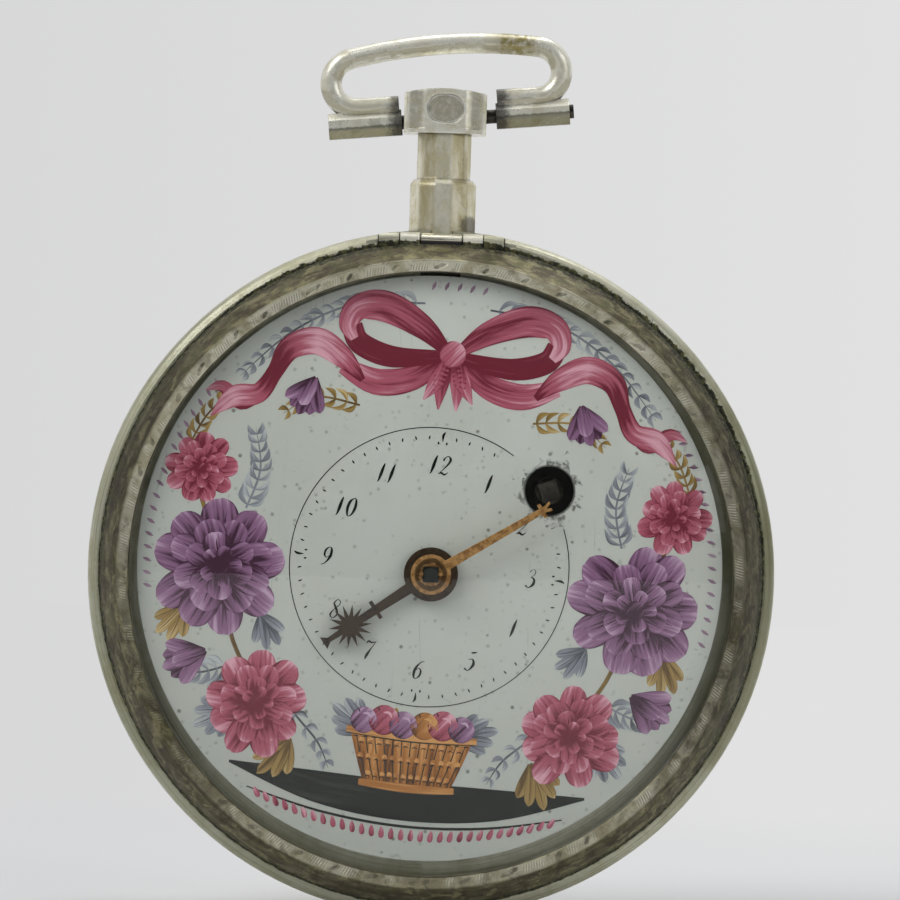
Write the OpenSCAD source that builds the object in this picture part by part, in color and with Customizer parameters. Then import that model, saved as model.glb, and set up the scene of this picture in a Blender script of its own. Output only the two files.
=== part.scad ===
// Verge pocket watch, size in millimetres.
// The dial faces -Y, the pendant points to +Z, the flat of the back lies on Y = 0,
// and the origin is where the axis of the hands meets that flat.
// Modules draw in the watchmaker's view: x right, y up, z from the back towards the dial.

/* [Movement plates] */
// Radius of the pillar plate, behind the dial
plate_r = 22.2; // [21.5:0.1:23.5]
// Thickness of the pillar plate
plate_t = 1.1; // [0.9:0.1:1.4]
// Radius of the top plate, at the balance side
top_plate_r = 20.4; // [19.9:0.1:20.6]
// Thickness of the top plate
top_plate_t = 1.0; // [0.8:0.1:1.2]
// Distance between the plates
pillar_h = 5.2; // [5.1:0.1:5.8]
// Distance of the pillars from the axis of the hands
pillar_ring = 18.6; // [18.4:0.1:18.9]
// Radius of a pillar's waist
pillar_r = 0.75; // [0.6:0.05:0.9]

/* [Case] */
// Thickness of the case's wall
wall_t = 0.7; // [0.6:0.05:0.9]
// Radial gap round the pillar plate
plate_gap = 0.4; // [0.3:0.05:0.6]
// Width of the ledge that the pillar plate rests on
ledge_w = 0.9; // [0.7:0.1:1.1]
// Thickness of that ledge
ledge_t = 0.8; // [0.6:0.1:1]
// Radial step from the bore to the lip that holds the bezel
lip_set = 2.0; // [1.8:0.1:2.4]
// Thickness of the lip
lip_t = 0.9; // [0.7:0.1:1.1]
// Height of the lip above the rim
lip_h = 1.2; // [1:0.1:1.3]
// Radius of the rounded rim outside the bezel
rim_round = 1.0; // [0.8:0.1:1.2]
// Radius of the flat of the back
back_flat_r = 12; // [10:0.5:13]
// Fullness of the back's curve, 1 is an ellipse
back_fullness = 0.75; // [0.7:0.05:0.8]
// Height of the band between the back's curve and the rim's rounding
band_h = 2.0; // [1.8:0.1:2.4]

/* [Bezel and glass] */
// Radial clearance between the lip and the bezel
bezel_fit = 0.1; // [0.08:0.01:0.15]
// Thickness of the bezel's outer wall
bezel_wall_t = 0.85; // [0.75:0.05:1]
// Height of the bezel from its foot to its front edge
bezel_h = 2.9; // [2.8:0.1:3.1]
// Height of the bezel's upright edge
bezel_edge_h = 0.75; // [0.6:0.05:0.9]
// Width of the engraved flat round the glass
bezel_band_w = 0.95; // [0.8:0.05:1.1]
// How far the bezel's opening lies inside the lip
bezel_lap = 0.55; // [0.5:0.05:0.65]
// Thickness of the glass
glass_t = 0.9; // [0.7:0.1:1]
// Rise of the glass from its edge to its middle
glass_rise = 3.85; // [3.6:0.05:4.2]
// Width of glass held in the bezel
glass_seat = 0.3; // [0.25:0.05:0.35]

/* [Hinge] */
// Radius of the hinge's knuckles
knuckle_r = 0.85; // [0.8:0.05:0.9]
// Radius of the hinge's pin
hinge_pin_r = 0.32; // [0.3:0.01:0.36]
// Distance of the hinge's axis inside the band
hinge_inset = 1.1; // [1.05:0.05:1.2]
// Half width of the whole hinge
hinge_half = 5.0; // [4.8:0.1:5.4]
// Length of each outer knuckle
knuckle_len = 1.6; // [1.5:0.05:1.65]
// Running fit of pins and arbors in their holes
running_fit = 0.03; // [0.02:0.005:0.04]

/* [Pendant and bow] */
// Radius of the pendant's lower collar
collar_r = 2.65; // [2.5:0.05:2.75]
// Height of the collar above its seat
collar_h = 4.6; // [4.2:0.1:5]
// Radius of the pendant's neck
neck_r = 2.15; // [2:0.05:2.3]
// Height of the neck
neck_h = 3.7; // [3.4:0.1:4]
// Width of the pendant's head
head_w = 6.6; // [6.4:0.1:6.8]
// Height of the head
head_h = 3.6; // [3.4:0.1:3.8]
// Depth of the head from front to back
head_d = 4.9; // [4.7:0.1:5.1]
// Height of the bow's pin above the foot of the head
pin_rise = 1.2; // [1.1:0.05:1.6]
// Radius of the bow's pin
bow_pin_r = 0.56; // [0.46:0.02:0.6]
// Radius across the corners of the bow's barrels
barrel_ear_r = 1.12; // [1.05:0.02:1.2]
// Length of each barrel
barrel_ear_len = 5.9; // [5.6:0.1:6.2]
// Play of the bow along its pin
bow_play = 0.6; // [0.4:0.05:0.8]
// Height of the bow's lower runs above its pin
bow_run_rise = 1.3; // [1.2:0.05:1.4]
// How far the bow's bends reach past its barrels
bow_overhang = 0.45; // [0.3:0.05:0.6]
// Radius of the bow's wire
bow_wire_r = 0.86; // [0.8:0.02:0.95]
// How much the arched top is worn thinner than the bends
bow_wear = 0.03; // [0.02:0.01:0.08]
// Radius of the bow's bends
bow_bend_r = 2.05; // [1.95:0.05:2.2]
// Radius of the arched top of the bow
bow_arch_r = 42; // [36:1:60]
// Tilt of the bow's pin in the worn head, in degrees
bow_tilt = 5.5; // [2:0.5:6]

/* [Dial and hands] */
// Radius of the dial
dial_r = 23.25; // [22.9:0.05:23.3]
// Thickness of the dial
dial_t = 0.6; // [0.5:0.05:0.7]
// Rise of the dial's dome
dial_rise = 0.4; // [0.2:0.05:0.5]
// How far the dial is set towards the pendant
dial_up = 0.45; // [0.3:0.05:0.5]
// How far the dial is set to the left
dial_left = 0.12; // [0:0.02:0.2]
// Gap between the pillar plate and the dial, for the motion work
motion_gap = 1.5; // [1.4:0.05:1.7]
// Radius of the winding hole
winding_hole_r = 1.95; // [1.9:0.05:2.2]
// Length of the minute hand from its axis to its tip
minute_len = 11.0; // [10:0.1:11.5]
// Length of the hour hand from its axis to its tip
hour_len = 10.1; // [9:0.1:10.5]
// Thickness of the hands
hand_t = 0.26; // [0.2:0.02:0.3]
// Angle of the minute hand from 12 o'clock, clockwise
minute_angle = 58.5; // [0:0.5:359]
// Angle of the hour hand from 12 o'clock, clockwise
hour_angle = 235.5; // [0:0.5:359]
// Radius of the hour hand's boss
hour_boss_r = 2.15; // [2:0.05:2.3]
// Radius of the minute hand's boss
minute_boss_r = 1.6; // [1.5:0.05:1.7]
// Width of the square that sets the hands
set_square = 1.2; // [1.1:0.05:1.25]

/* [Motion work] */
// Distance of the minute wheel from the axis of the hands
motion_distance = 4.2; // [4:0.1:4.5]
// Direction of the minute wheel from the axis of the hands
motion_angle = 300; // [290:1:320]
// Teeth of the cannon pinion
cannon_teeth = 12; // [10:1:14]
// Teeth of the minute wheel
minute_wheel_teeth = 36; // [30:1:42]
// Teeth of the minute wheel's pinion
minute_pinion_teeth = 10; // [8:1:12]
// Teeth of the hour wheel
hour_wheel_teeth = 40; // [36:1:48]

/* [Fusee and barrel] */
// Distance of the fusee's arbor from the axis of the hands
fusee_distance = 11.5; // [11.3:0.1:11.7]
// Direction of the fusee's arbor
fusee_angle = 36.9; // [35:0.1:39]
// Teeth of the great wheel
great_teeth = 60; // [56:1:64]
// Leaves of the centre pinion
centre_leaves = 12; // [10:1:12]
// Thickness of the great wheel
great_t = 0.6; // [0.5:0.05:0.7]
// Large radius of the fusee's cone
fusee_r1 = 7.6; // [7:0.1:7.8]
// Small radius of the fusee's cone
fusee_r0 = 4.4; // [4:0.1:4.8]
// Turns of the chain on the fusee
fusee_turns = 6; // [5:1:7]
// Width of the winding square
winding_square = 1.5; // [1.3:0.05:1.6]
// Distance of the barrel from the axis of the hands
barrel_distance = 11.9; // [11.7:0.1:12.1]
// Direction of the barrel
barrel_angle = 136.4; // [135:0.1:138]
// Radius of the barrel
barrel_r = 7.4; // [7:0.1:7.5]
// Thickness of the barrel's wall
barrel_wall = 0.5; // [0.4:0.05:0.6]
// Turns of the mainspring
mainspring_turns = 5; // [4:1:7]
// Pitch of the chain's links
link_pitch = 0.9; // [0.8:0.05:1]

/* [Going train] */
// Teeth of the centre wheel
centre_teeth = 60; // [54:1:60]
// Leaves of each small pinion
pinion_leaves = 6; // [6:1:7]
// Distance from the centre wheel to the third wheel
third_distance = 7.26; // [7.1:0.02:7.4]
// Direction from the centre wheel to the third wheel
third_angle = 225; // [223:1:228]
// Teeth of the third wheel
third_teeth = 54; // [48:1:54]
// Distance from the third wheel to the contrate wheel
contrate_distance = 4.95; // [4.85:0.05:5.05]
// Direction from the third wheel to the contrate wheel
contrate_angle = 250; // [247:1:252]
// Teeth of the contrate wheel
contrate_teeth = 48; // [42:1:48]
// Pitch radius of the contrate wheel
contrate_r = 3.9; // [3.8:0.05:4]
// Thickness of the centre wheel
centre_t = 0.4; // [0.3:0.05:0.45]
// Thickness of the third and contrate wheels
wheel_t = 0.25; // [0.2:0.05:0.3]
// Radius of the train's arbors
arbor_r = 0.26; // [0.22:0.02:0.28]
// Radius of the arbors' pivots
pivot_r = 0.15; // [0.12:0.01:0.18]

/* [Escapement and balance] */
// Distance along the crown wheel's arbor from the contrate wheel to the verge
verge_reach = 9.33; // [9.1:0.05:9.5]
// Teeth of the crown wheel
crown_teeth = 13; // [11:2:15]
// Radius of the crown wheel
crown_r = 1.95; // [1.9:0.05:2]
// Length of the crown wheel from its web to its tooth tips
crown_len = 1.4; // [1.2:0.05:1.5]
// Distance from the tooth tips to the verge's axis
crown_drop = 0.62; // [0.6:0.01:0.66]
// Reach of the pallets from the verge's axis
pallet_reach = 0.52; // [0.48:0.01:0.53]
// Radius of the balance staff
staff_r = 0.25; // [0.2:0.01:0.25]
// Outer radius of the balance
balance_r = 8.5; // [8.2:0.1:8.6]
// Width of the balance's rim
balance_rim_w = 0.85; // [0.7:0.05:1]
// Thickness of the balance
balance_t = 0.55; // [0.45:0.05:0.6]
// Outer radius of the balance spring
balance_spring_r = 4.2; // [4:0.1:4.4]
// Turns of the balance spring
balance_spring_turns = 3; // [3:1:4]

/* [Balance bridge] */
// Radius of the bridge's round table
bridge_r = 9.3; // [9.1:0.1:9.4]
// Thickness of the bridge
bridge_t = 0.8; // [0.7:0.05:0.9]
// Distance of the bridge's screws from the balance staff
bridge_foot_d = 10.6; // [10.5:0.1:10.8]
// Direction of one foot of the bridge
bridge_angle = 170; // [168:1:172]
// Radius of each foot
bridge_foot_r = 1.5; // [1.4:0.05:1.6]
// Room between the case's back and the bridge's cap
back_room = 0.6; // [0.5:0.05:0.9]

/* [Regulator] */
// Distance from the balance staff to the regulator's disc
regulator_distance = 12.6; // [12.5:0.05:12.8]
// Direction of the disc from the balance staff
regulator_angle = 50; // [48:1:52]
// Teeth of the regulator's pinion
regulator_pinion_teeth = 16; // [14:1:16]
// Teeth of the full circle that the rack is part of
rack_circle_teeth = 68; // [66:1:70]
// Radius of the silvered disc
regulator_disc_r = 3.7; // [3.4:0.1:3.8]
// Half angle of the rack
rack_half = 28; // [26:1:29]

/* [Hidden] */
$fn = 48;
eps = 0.01;
knuckle_gap = 0.1;
seat_gap = 0.1;

// Depths from the flat of the back to the front of the glass
cap_t = 0.35;
cap_z = wall_t + back_room;
bridge_z0 = cap_z + cap_t;
bridge_z1 = bridge_z0 + bridge_t;
balance_gap = 0.5;
balance_z0 = bridge_z1 + balance_gap;
balance_z1 = balance_z0 + balance_t;
spring_gap = 0.25;
spring_h = 0.25;
spring_z0 = balance_z1 + spring_gap;
spring_z1 = spring_z0 + spring_h;
rack_gap = 0.15;
rack_t = 0.35;
rack_z0 = spring_z1 + rack_gap;
rack_z1 = rack_z0 + rack_t;
top_z0 = rack_z1 + 0.1;
top_z1 = top_z0 + top_plate_t;
pillar_z = top_z1 + pillar_h;
plate_z = pillar_z + plate_t;
dial_z = plate_z + motion_gap;
dial_edge_z = dial_z + dial_t;
dial_mid_z = dial_edge_z + dial_rise;

// Heights of the wheels above the pillar plate's inner face
centre_h = 0.3;
third_h = centre_h + centre_t + 0.25;
great_h = 1.2;
contrate_h = third_h + wheel_t + 0.25;
crown_h = pillar_h / 2;
contrate_pinion_h = third_h - 0.1;
barrel_h0 = 1.1;
barrel_h1 = pillar_h - 0.3;
fusee_h0 = great_h + great_t + 0.1;
fusee_h1 = pillar_h - 0.6;

// Radii from the plate outwards
bore_r = plate_r + plate_gap;
ledge_r = bore_r - ledge_w;
lip_r0 = bore_r + lip_set;
lip_r1 = lip_r0 + lip_t;
bezel_r0 = lip_r1 + bezel_fit;
bezel_r = bezel_r0 + bezel_wall_t;
rim_gap = 0.05;
case_r = bezel_r + rim_gap + rim_round;
bezel_in_r = lip_r0 - bezel_lap;
glass_r = bezel_in_r + glass_seat;

// Levels of the case and bezel
seat_z = pillar_z - seat_gap;
ledge_z = seat_z - ledge_t;
rim_z = seat_z + band_h - 0.2;
bowl_z = rim_z - rim_round - band_h;
lip_z = rim_z + lip_h;
bezel_z = rim_z + 0.1;
bezel_roof_z = lip_z + 0.15;
bezel_front_z = bezel_z + bezel_h;
glass_edge_z = bezel_roof_z + 0.05;
glass_lip_z = glass_edge_z + glass_t + 0.15;

// Hinge at 12 o'clock
hinge_y = case_r - hinge_inset;
hinge_z = bezel_z;
notch_z = hinge_z - knuckle_r - 0.1;

// Pendant and bow
pendant_z = 9.0;
seat_flat = case_r - 0.5;
collar_y = seat_flat + collar_h;
head_y = collar_y + neck_h;
bow_y = head_y + pin_rise;
spigot_r = 1.2;
spigot_len = 1.2;
pendant_sides = 12;
pendant_flat = cos(180 / pendant_sides);
shoulder_w = 0.3;
shoulder_h = 0.4;
head_lip = 0.3;
scoop_r = 1.5;
scoop_d = 0.28;

// Arbors, pins and screws
centre_front_r = 0.6;
fusee_front_r = 1.1;
barrel_arbor_r = 1.0;
pillar_end_r = 0.7;
dial_foot_r = 0.5;
small_screw_r = 0.3;
stud_r = 0.35;
hinge_screw_x = 0.8;
hinge_screw_y = plate_r - 1.3;
bridge_screw_r = 0.45;
pin_z = top_z0 - 0.32;
collet_r = 0.7;

// Centres of the arbors, as [x, y]
function polar(r, a) = [r * cos(a), r * sin(a)];
fusee_at = polar(fusee_distance, fusee_angle);
barrel_at = polar(barrel_distance, barrel_angle);
third_at = polar(third_distance, third_angle);
contrate_at = third_at + polar(contrate_distance, contrate_angle);
verge_at = contrate_at + [verge_reach, 0];
disc_at = verge_at + polar(regulator_distance, regulator_angle);
minute_wheel_at = polar(motion_distance, motion_angle);
pillar_angles = [92, 178, 262, 352];
dial_foot_angles = [20, 140, 250];
dial_foot_ring = 17.5;

// Radius of a pitch circle from the distance between centres and both tooth counts
function pitch_r(distance, teeth, other) = distance * teeth / (teeth + other);
great_pr = pitch_r(fusee_distance, great_teeth, centre_leaves);
centre_pinion_pr = fusee_distance - great_pr;
centre_pr = pitch_r(third_distance, centre_teeth, pinion_leaves);
third_pinion_pr = third_distance - centre_pr;
third_pr = pitch_r(contrate_distance, third_teeth, pinion_leaves);
contrate_pinion_pr = contrate_distance - third_pr;
crown_pinion_pr = contrate_r * pinion_leaves / contrate_teeth;
cannon_pr = pitch_r(motion_distance, cannon_teeth, minute_wheel_teeth);
minute_wheel_pr = motion_distance - cannon_pr;
hour_wheel_pr = pitch_r(motion_distance, hour_wheel_teeth, minute_pinion_teeth);
minute_pinion_pr = motion_distance - hour_wheel_pr;
rack_pr = pitch_r(regulator_distance, rack_circle_teeth, regulator_pinion_teeth);
regulator_pr = regulator_distance - rack_pr;

// Turns the watchmaker's view upright, with the dial facing -Y
module front() {
    rotate([90, 0, 0]) children();
}

// A disc between two depths
module disc(r, z0, z1, at = [0, 0]) {
    translate([at[0], at[1], z0]) cylinder(r = r, h = z1 - z0);
}

// A flat outline between two depths
module slab(z0, z1, at = [0, 0]) {
    translate([at[0], at[1], z0]) linear_extrude(z1 - z0) children();
}

// Depth of a height above the pillar plate's inner face
function lift(h) = pillar_z - h;

// A disc between two heights above the pillar plate
module layer(r, h0, h1, at = [0, 0]) {
    disc(r, lift(h1), lift(h0), at);
}

// An outline between two heights above the pillar plate
module layer_slab(h0, h1, at = [0, 0]) {
    slab(lift(h1), lift(h0), at) children();
}

// Outline of a toothed wheel: each tooth has a foot, a shoulder at the pitch circle and a tip
function tooth(r, a, out, in, wide) = [
    [r - in, a - wide * 0.55], [r, a - wide / 2], [r + out, a - wide * 0.22],
    [r + out, a + wide * 0.22], [r, a + wide / 2], [r - in, a + wide * 0.55]
];

module toothed(teeth, r, out, in, share = 0.44, turn = 0) {
    pitch = 360 / teeth;
    polygon([
        for (i = [0 : teeth - 1], p = tooth(r, i * pitch + turn, out, in, share * pitch))
            polar(p[0], p[1])
    ]);
}

// Wheel and pinion teeth sized from the tooth pitch
module wheel_teeth(teeth, r, turn = 0) {
    m = 2 * r / teeth;
    toothed(teeth, r, 0.95 * m, 1.15 * m, 0.44, turn);
}

module pinion_leaves_2d(leaves, r, turn = 0) {
    m = 2 * r / leaves;
    toothed(leaves, r, 0.62 * m, 1.3 * m, 0.36, turn);
}

// Arms of a crossed-out wheel, between the hub and the rim
module crossing(arms, hub_r, rim_r, arm_w, turn = 0) {
    difference() {
        circle(r = rim_r);
        circle(r = hub_r);
        for (i = [0 : arms - 1])
            rotate(i * 360 / arms + turn) translate([0, -arm_w / 2]) square([rim_r + 1, arm_w]);
    }
}

// Point on the curve of the back: 0 at the flat, 90 at the band
function bowl(t, r0, r1, z0, z1) = [
    r0 + (r1 - r0) * pow(sin(t), back_fullness),
    z0 + (z1 - z0) * (1 - pow(cos(t), back_fullness))
];
bowl_steps = 18;

case_profile = concat(
    [[0, 0]],
    [for (i = [0 : bowl_steps]) bowl(i * 90 / bowl_steps, back_flat_r, case_r, 0, bowl_z)],
    [for (a = [0 : 15 : 90])
        [case_r - rim_round + rim_round * cos(a), rim_z - rim_round + rim_round * sin(a)]],
    [[lip_r1, rim_z], [lip_r1, lip_z - 0.2], [lip_r1 - 0.2, lip_z], [lip_r0, lip_z]],
    [[lip_r0, rim_z], [bore_r, rim_z], [bore_r, seat_z], [ledge_r, seat_z]],
    [[ledge_r, ledge_z], [case_r - wall_t, ledge_z]],
    [for (i = [bowl_steps : -1 : 0])
        bowl(i * 90 / bowl_steps, back_flat_r, case_r - wall_t, wall_t, bowl_z)],
    [[0, wall_t]]
);

// A knuckle of the hinge from x0 to x1, with its bore left open
module knuckle(x0, x1, r = knuckle_r) {
    translate([x0, hinge_y, hinge_z]) rotate([0, 90, 0]) cylinder(r = r, h = x1 - x0);
}

module hinge_bore() {
    translate([-hinge_half - 1, hinge_y, hinge_z])
        rotate([0, 90, 0]) cylinder(r = hinge_pin_r + running_fit, h = 2 * hinge_half + 2);
}

// Both ends of the hinge
module mirrored() {
    children();
    mirror([1, 0, 0]) children();
}

module case_body() {
    color([0.78, 0.78, 0.72]) front() difference() {
        union() {
            difference() {
                rotate_extrude() polygon(case_profile);
                translate([-hinge_half - knuckle_gap, bore_r - 0.5, notch_z])
                    cube([2 * (hinge_half + knuckle_gap), case_r, 5]);
            }
            // Outer knuckles, filed flush with the round of the rim
            intersection() {
                mirrored() {
                    knuckle(hinge_half - knuckle_len, hinge_half);
                    translate([hinge_half - knuckle_len, hinge_y - knuckle_r, notch_z - 0.2])
                        cube([knuckle_len, 2 * knuckle_r - 0.15, hinge_z - notch_z + 0.2]);
                }
                disc(case_r - 0.03, notch_z - 1, hinge_z + 2);
            }
        }
        hinge_bore();
        // Flat and hole for the pendant
        translate([0, seat_flat, pendant_z]) rotate([-90, 0, 0])
            cylinder(r = collar_r / pendant_flat + 0.05, h = collar_h);
        translate([0, seat_flat - 3, pendant_z]) rotate([-90, 0, 0])
            cylinder(r = spigot_r + running_fit, h = collar_h);
    }
}

module hinge_pin() {
    color("dimgray") front() translate([-hinge_half, hinge_y, hinge_z])
        rotate([0, 90, 0]) cylinder(r = hinge_pin_r, h = 2 * hinge_half);
}

// Outline of the bezel's section, as radius and depth
bezel_slope_r = bezel_in_r + bezel_band_w;
bezel_skirt_z = bezel_roof_z - 0.3;
bezel_profile = concat(
    [[bezel_r0, bezel_z], [bezel_r, bezel_z], [bezel_r, bezel_z + bezel_edge_h]],
    [for (a = [15 : 15 : 90]) [
        bezel_slope_r + (bezel_r - bezel_slope_r) * (0.55 * cos(a) + 0.45 * (1 - sin(a))),
        bezel_z + bezel_edge_h + (bezel_h - bezel_edge_h - 0.1) * (0.55 * sin(a) + 0.45 * (1 - cos(a)))
    ]],
    [[bezel_in_r + 0.1, bezel_front_z], [bezel_in_r, bezel_front_z - 0.1]],
    [[bezel_in_r, glass_lip_z], [glass_r + 0.05, glass_lip_z]],
    [[glass_r + 0.05, glass_edge_z - 0.05], [bezel_in_r + 0.05, glass_edge_z - 0.05]],
    [[bezel_in_r + 0.05, bezel_skirt_z], [lip_r0 - 0.12, bezel_skirt_z]],
    [[lip_r0 - 0.12, bezel_roof_z], [bezel_r0, bezel_roof_z]]
);

module bezel() {
    knuckle_in = hinge_half - knuckle_len - knuckle_gap;
    knuckle_from = knuckle_in - knuckle_len + 0.05;
    color([0.62, 0.61, 0.52]) front() difference() {
        union() {
            rotate_extrude() polygon(bezel_profile);
            mirrored() knuckle(knuckle_from, knuckle_in);
        }
        knuckle(-knuckle_from + knuckle_gap / 2, knuckle_from - knuckle_gap / 2, knuckle_r + 0.12);
        mirrored() knuckle(knuckle_in + knuckle_gap / 2, hinge_half + 0.15, knuckle_r + 0.12);
        hinge_bore();
    }
}

// Arc of a dome: radius and depth at each step from the edge to the middle
function dome(r, z, rise, steps) = [
    for (i = [0 : steps]) let (x = r * (1 - i / steps)) [x, z + rise * (1 - x * x / (r * r))]
];

dome_steps = 14;
module glass() {
    inner = dome(glass_r, glass_edge_z, glass_rise, dome_steps);
    color([0.85, 0.9, 0.92, 0.3]) front() rotate_extrude() polygon(concat(
        dome(glass_r, glass_edge_z + glass_t, glass_rise, dome_steps),
        [for (i = [dome_steps : -1 : 0]) inner[i]]
    ));
}

// A twelve-sided length of the pendant between two heights, sized across its flats
module pendant_prism(r, y0, y1, r_end = 0) {
    translate([0, 0, y0]) rotate(180 / pendant_sides) cylinder(
        r1 = r / pendant_flat, r2 = (r_end > 0 ? r_end : r) / pendant_flat, h = y1 - y0,
        $fn = pendant_sides);
}

// Spigot in the case, collar with a bevelled shoulder, and the neck that carries the head
module pendant() {
    cone_h = collar_h + collar_r * shoulder_h / shoulder_w;
    color([0.75, 0.75, 0.68]) front() translate([0, 0, pendant_z]) rotate([-90, 0, 0]) union() {
        translate([0, 0, seat_flat - spigot_len]) cylinder(r = spigot_r, h = spigot_len + 1);
        intersection() {
            pendant_prism(collar_r, seat_flat, collar_y);
            pendant_prism(collar_r - shoulder_w + collar_h * shoulder_w / shoulder_h,
                seat_flat, collar_y + 0.2 * shoulder_h,
                collar_r - 1.2 * shoulder_w);
        }
        pendant_prism(neck_r, collar_y - 1, head_y);
    }
}

// Wide block with rounded corners, a scoop beside its bare oval and a thin lip at its foot
module pendant_head() {
    oval_r = 1.15;
    corner_r = head_w / 2 + 0.55;
    color([0.8, 0.8, 0.76]) front() difference() {
        translate([0, head_y, pendant_z]) intersection() {
            translate([-head_w / 2, 0, -head_d / 2]) cube([head_w, head_h, head_d]);
            translate([0, head_h - 14, -head_d]) cylinder(r = 14, h = 2 * head_d, $fn = 96);
            translate([0, -1, 0]) rotate([-90, 0, 0]) cylinder(r = corner_r, h = head_h + 2);
        }
        for (side = [-1, 1], face = [-1, 1])
            translate([side * (head_w / 2 - 0.8), head_y + head_lip, pendant_z])
                translate([0, 0, face * (head_d / 2 + scoop_r - scoop_d)])
                    rotate([-90, 0, 0]) cylinder(r = scoop_r, h = head_h + 2);
        translate([0, head_y + head_h * 0.55, pendant_z + head_d / 2 - 0.15]) linear_extrude(1) {
            translate([-0.35, 0]) circle(r = oval_r);
            translate([0.35, 0]) circle(r = oval_r);
            square([0.7, 2 * oval_r], center = true);
        }
        bow_frame() translate([-head_w, 0, 0]) rotate([0, 90, 0])
            cylinder(r = bow_pin_r + running_fit, h = 2 * head_w);
    }
}

// Frame of the bow: x along its pin, y away from the case
module bow_frame() {
    translate([0, bow_y, pendant_z]) rotate([0, 0, bow_tilt]) children();
}

ear_x0 = head_w / 2 + 0.2;
ear_right_x0 = ear_x0 + bow_play;
bow_mid_x = bow_play / 2;
pin_end = ear_right_x0 + barrel_ear_len + 0.35;

module bow_pin() {
    color("dimgray") front() bow_frame() translate([-ear_x0 - barrel_ear_len + 0.3, 0, 0])
        rotate([0, 90, 0]) cylinder(r = bow_pin_r, h = pin_end + ear_x0 + barrel_ear_len - 0.3);
}

// The bow: two eight-sided barrels and a wire bent into a long loop that lies on them
module bow() {
    half = ear_x0 + bow_play / 2 + barrel_ear_len + bow_overhang - bow_wire_r - bow_bend_r;
    arch_half = asin(half / (bow_arch_r - bow_bend_r));
    arch_y = bow_run_rise + bow_bend_r - (bow_arch_r - bow_bend_r) * cos(arch_half);
    run = barrel_ear_len + bow_overhang - bow_wire_r - bow_bend_r - 0.15;
    color([0.78, 0.78, 0.7]) front() bow_frame() difference() {
        union() {
            for (x = [-ear_x0 - barrel_ear_len, ear_right_x0])
                translate([x, 0, 0]) rotate([0, 90, 0]) rotate(22.5)
                    cylinder(r = barrel_ear_r, h = barrel_ear_len, $fn = 8);
            translate([bow_mid_x, 0, 0]) {
                mirrored() translate([half - run, bow_run_rise, 0])
                    rotate([0, 90, 0]) cylinder(r = bow_wire_r, h = run);
                mirrored() translate([half, bow_run_rise + bow_bend_r, 0]) rotate(-90)
                    rotate_extrude(angle = 180 - arch_half)
                        translate([bow_bend_r, 0]) circle(r = bow_wire_r);
                translate([0, arch_y, 0]) rotate(90 - arch_half)
                    rotate_extrude(angle = 2 * arch_half)
                        translate([bow_arch_r, 0]) circle(r = bow_wire_r - bow_wear);
            }
        }
        translate([-2 * half, 0, 0]) rotate([0, 90, 0])
            cylinder(r = bow_pin_r + running_fit, h = 4 * half);
    }
}

// Holes for the pivots, in a plate between two depths
module pivot_hole(at, r = pivot_r) {
    translate([at[0], at[1], 0]) cylinder(r = r + running_fit, h = 30);
}

module pillar_plate() {
    color([0.85, 0.68, 0.3]) front() difference() {
        disc(plate_r, pillar_z, plate_z);
        pivot_hole([0, 0], centre_front_r);
        pivot_hole(fusee_at, fusee_front_r);
        pivot_hole(barrel_at, barrel_arbor_r);
        pivot_hole(third_at);
        pivot_hole(contrate_at);
        for (a = pillar_angles) pivot_hole(polar(pillar_ring, a), pillar_end_r);
        for (a = dial_foot_angles) pivot_hole(polar(dial_foot_ring, a), dial_foot_r);
        for (x = [-hinge_screw_x, hinge_screw_x]) pivot_hole([x, hinge_screw_y], small_screw_r);
        pivot_hole(click_at, small_screw_r);
        pivot_hole(minute_wheel_at, stud_r);
    }
}

module top_plate() {
    color([0.85, 0.68, 0.3]) front() difference() {
        disc(top_plate_r, top_z0, top_z1);
        pivot_hole([0, 0]);
        pivot_hole(fusee_at, 0.4);
        pivot_hole(barrel_at, barrel_arbor_r - 0.3);
        pivot_hole(third_at);
        pivot_hole(contrate_at);
        pivot_hole(verge_at, staff_r + 0.35);
        for (a = pillar_angles) pivot_hole(polar(pillar_ring, a), pillar_end_r);
        for (a = [0, 180])
            pivot_hole(verge_at + polar(bridge_foot_d, bridge_angle + a), bridge_screw_r);
    }
}

// Turned pillars, riveted in the pillar plate and pinned above the top plate
module pillars() {
    base_r = pillar_r + 0.45;
    collar = 0.45;
    mid = pillar_z - pillar_h / 2;
    color([0.85, 0.68, 0.3]) front() for (a = pillar_angles)
        translate(concat(polar(pillar_ring, a), [0])) difference() {
            rotate_extrude() polygon([
                [0, pin_z - 0.3], [pillar_end_r, pin_z - 0.3], [pillar_end_r, top_z1],
                [base_r, top_z1], [base_r, top_z1 + collar], [pillar_r, top_z1 + collar + 0.3],
                [pillar_r + 0.25, mid], [pillar_r, pillar_z - collar - 0.3],
                [base_r, pillar_z - collar], [base_r, pillar_z], [pillar_end_r, pillar_z],
                [pillar_end_r, plate_z], [0, plate_z]
            ]);
            translate([0, 0, pin_z]) rotate([0, 90, a]) translate([0, 0, -2])
                cylinder(r = 0.2 + running_fit, h = 4);
        }
}

module pillar_pins() {
    color("goldenrod") front() for (a = pillar_angles)
        translate(concat(polar(pillar_ring, a), [pin_z])) rotate([0, 90, a])
            translate([0, 0, -1.2]) cylinder(r = 0.2, h = 2.4);
}

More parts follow.
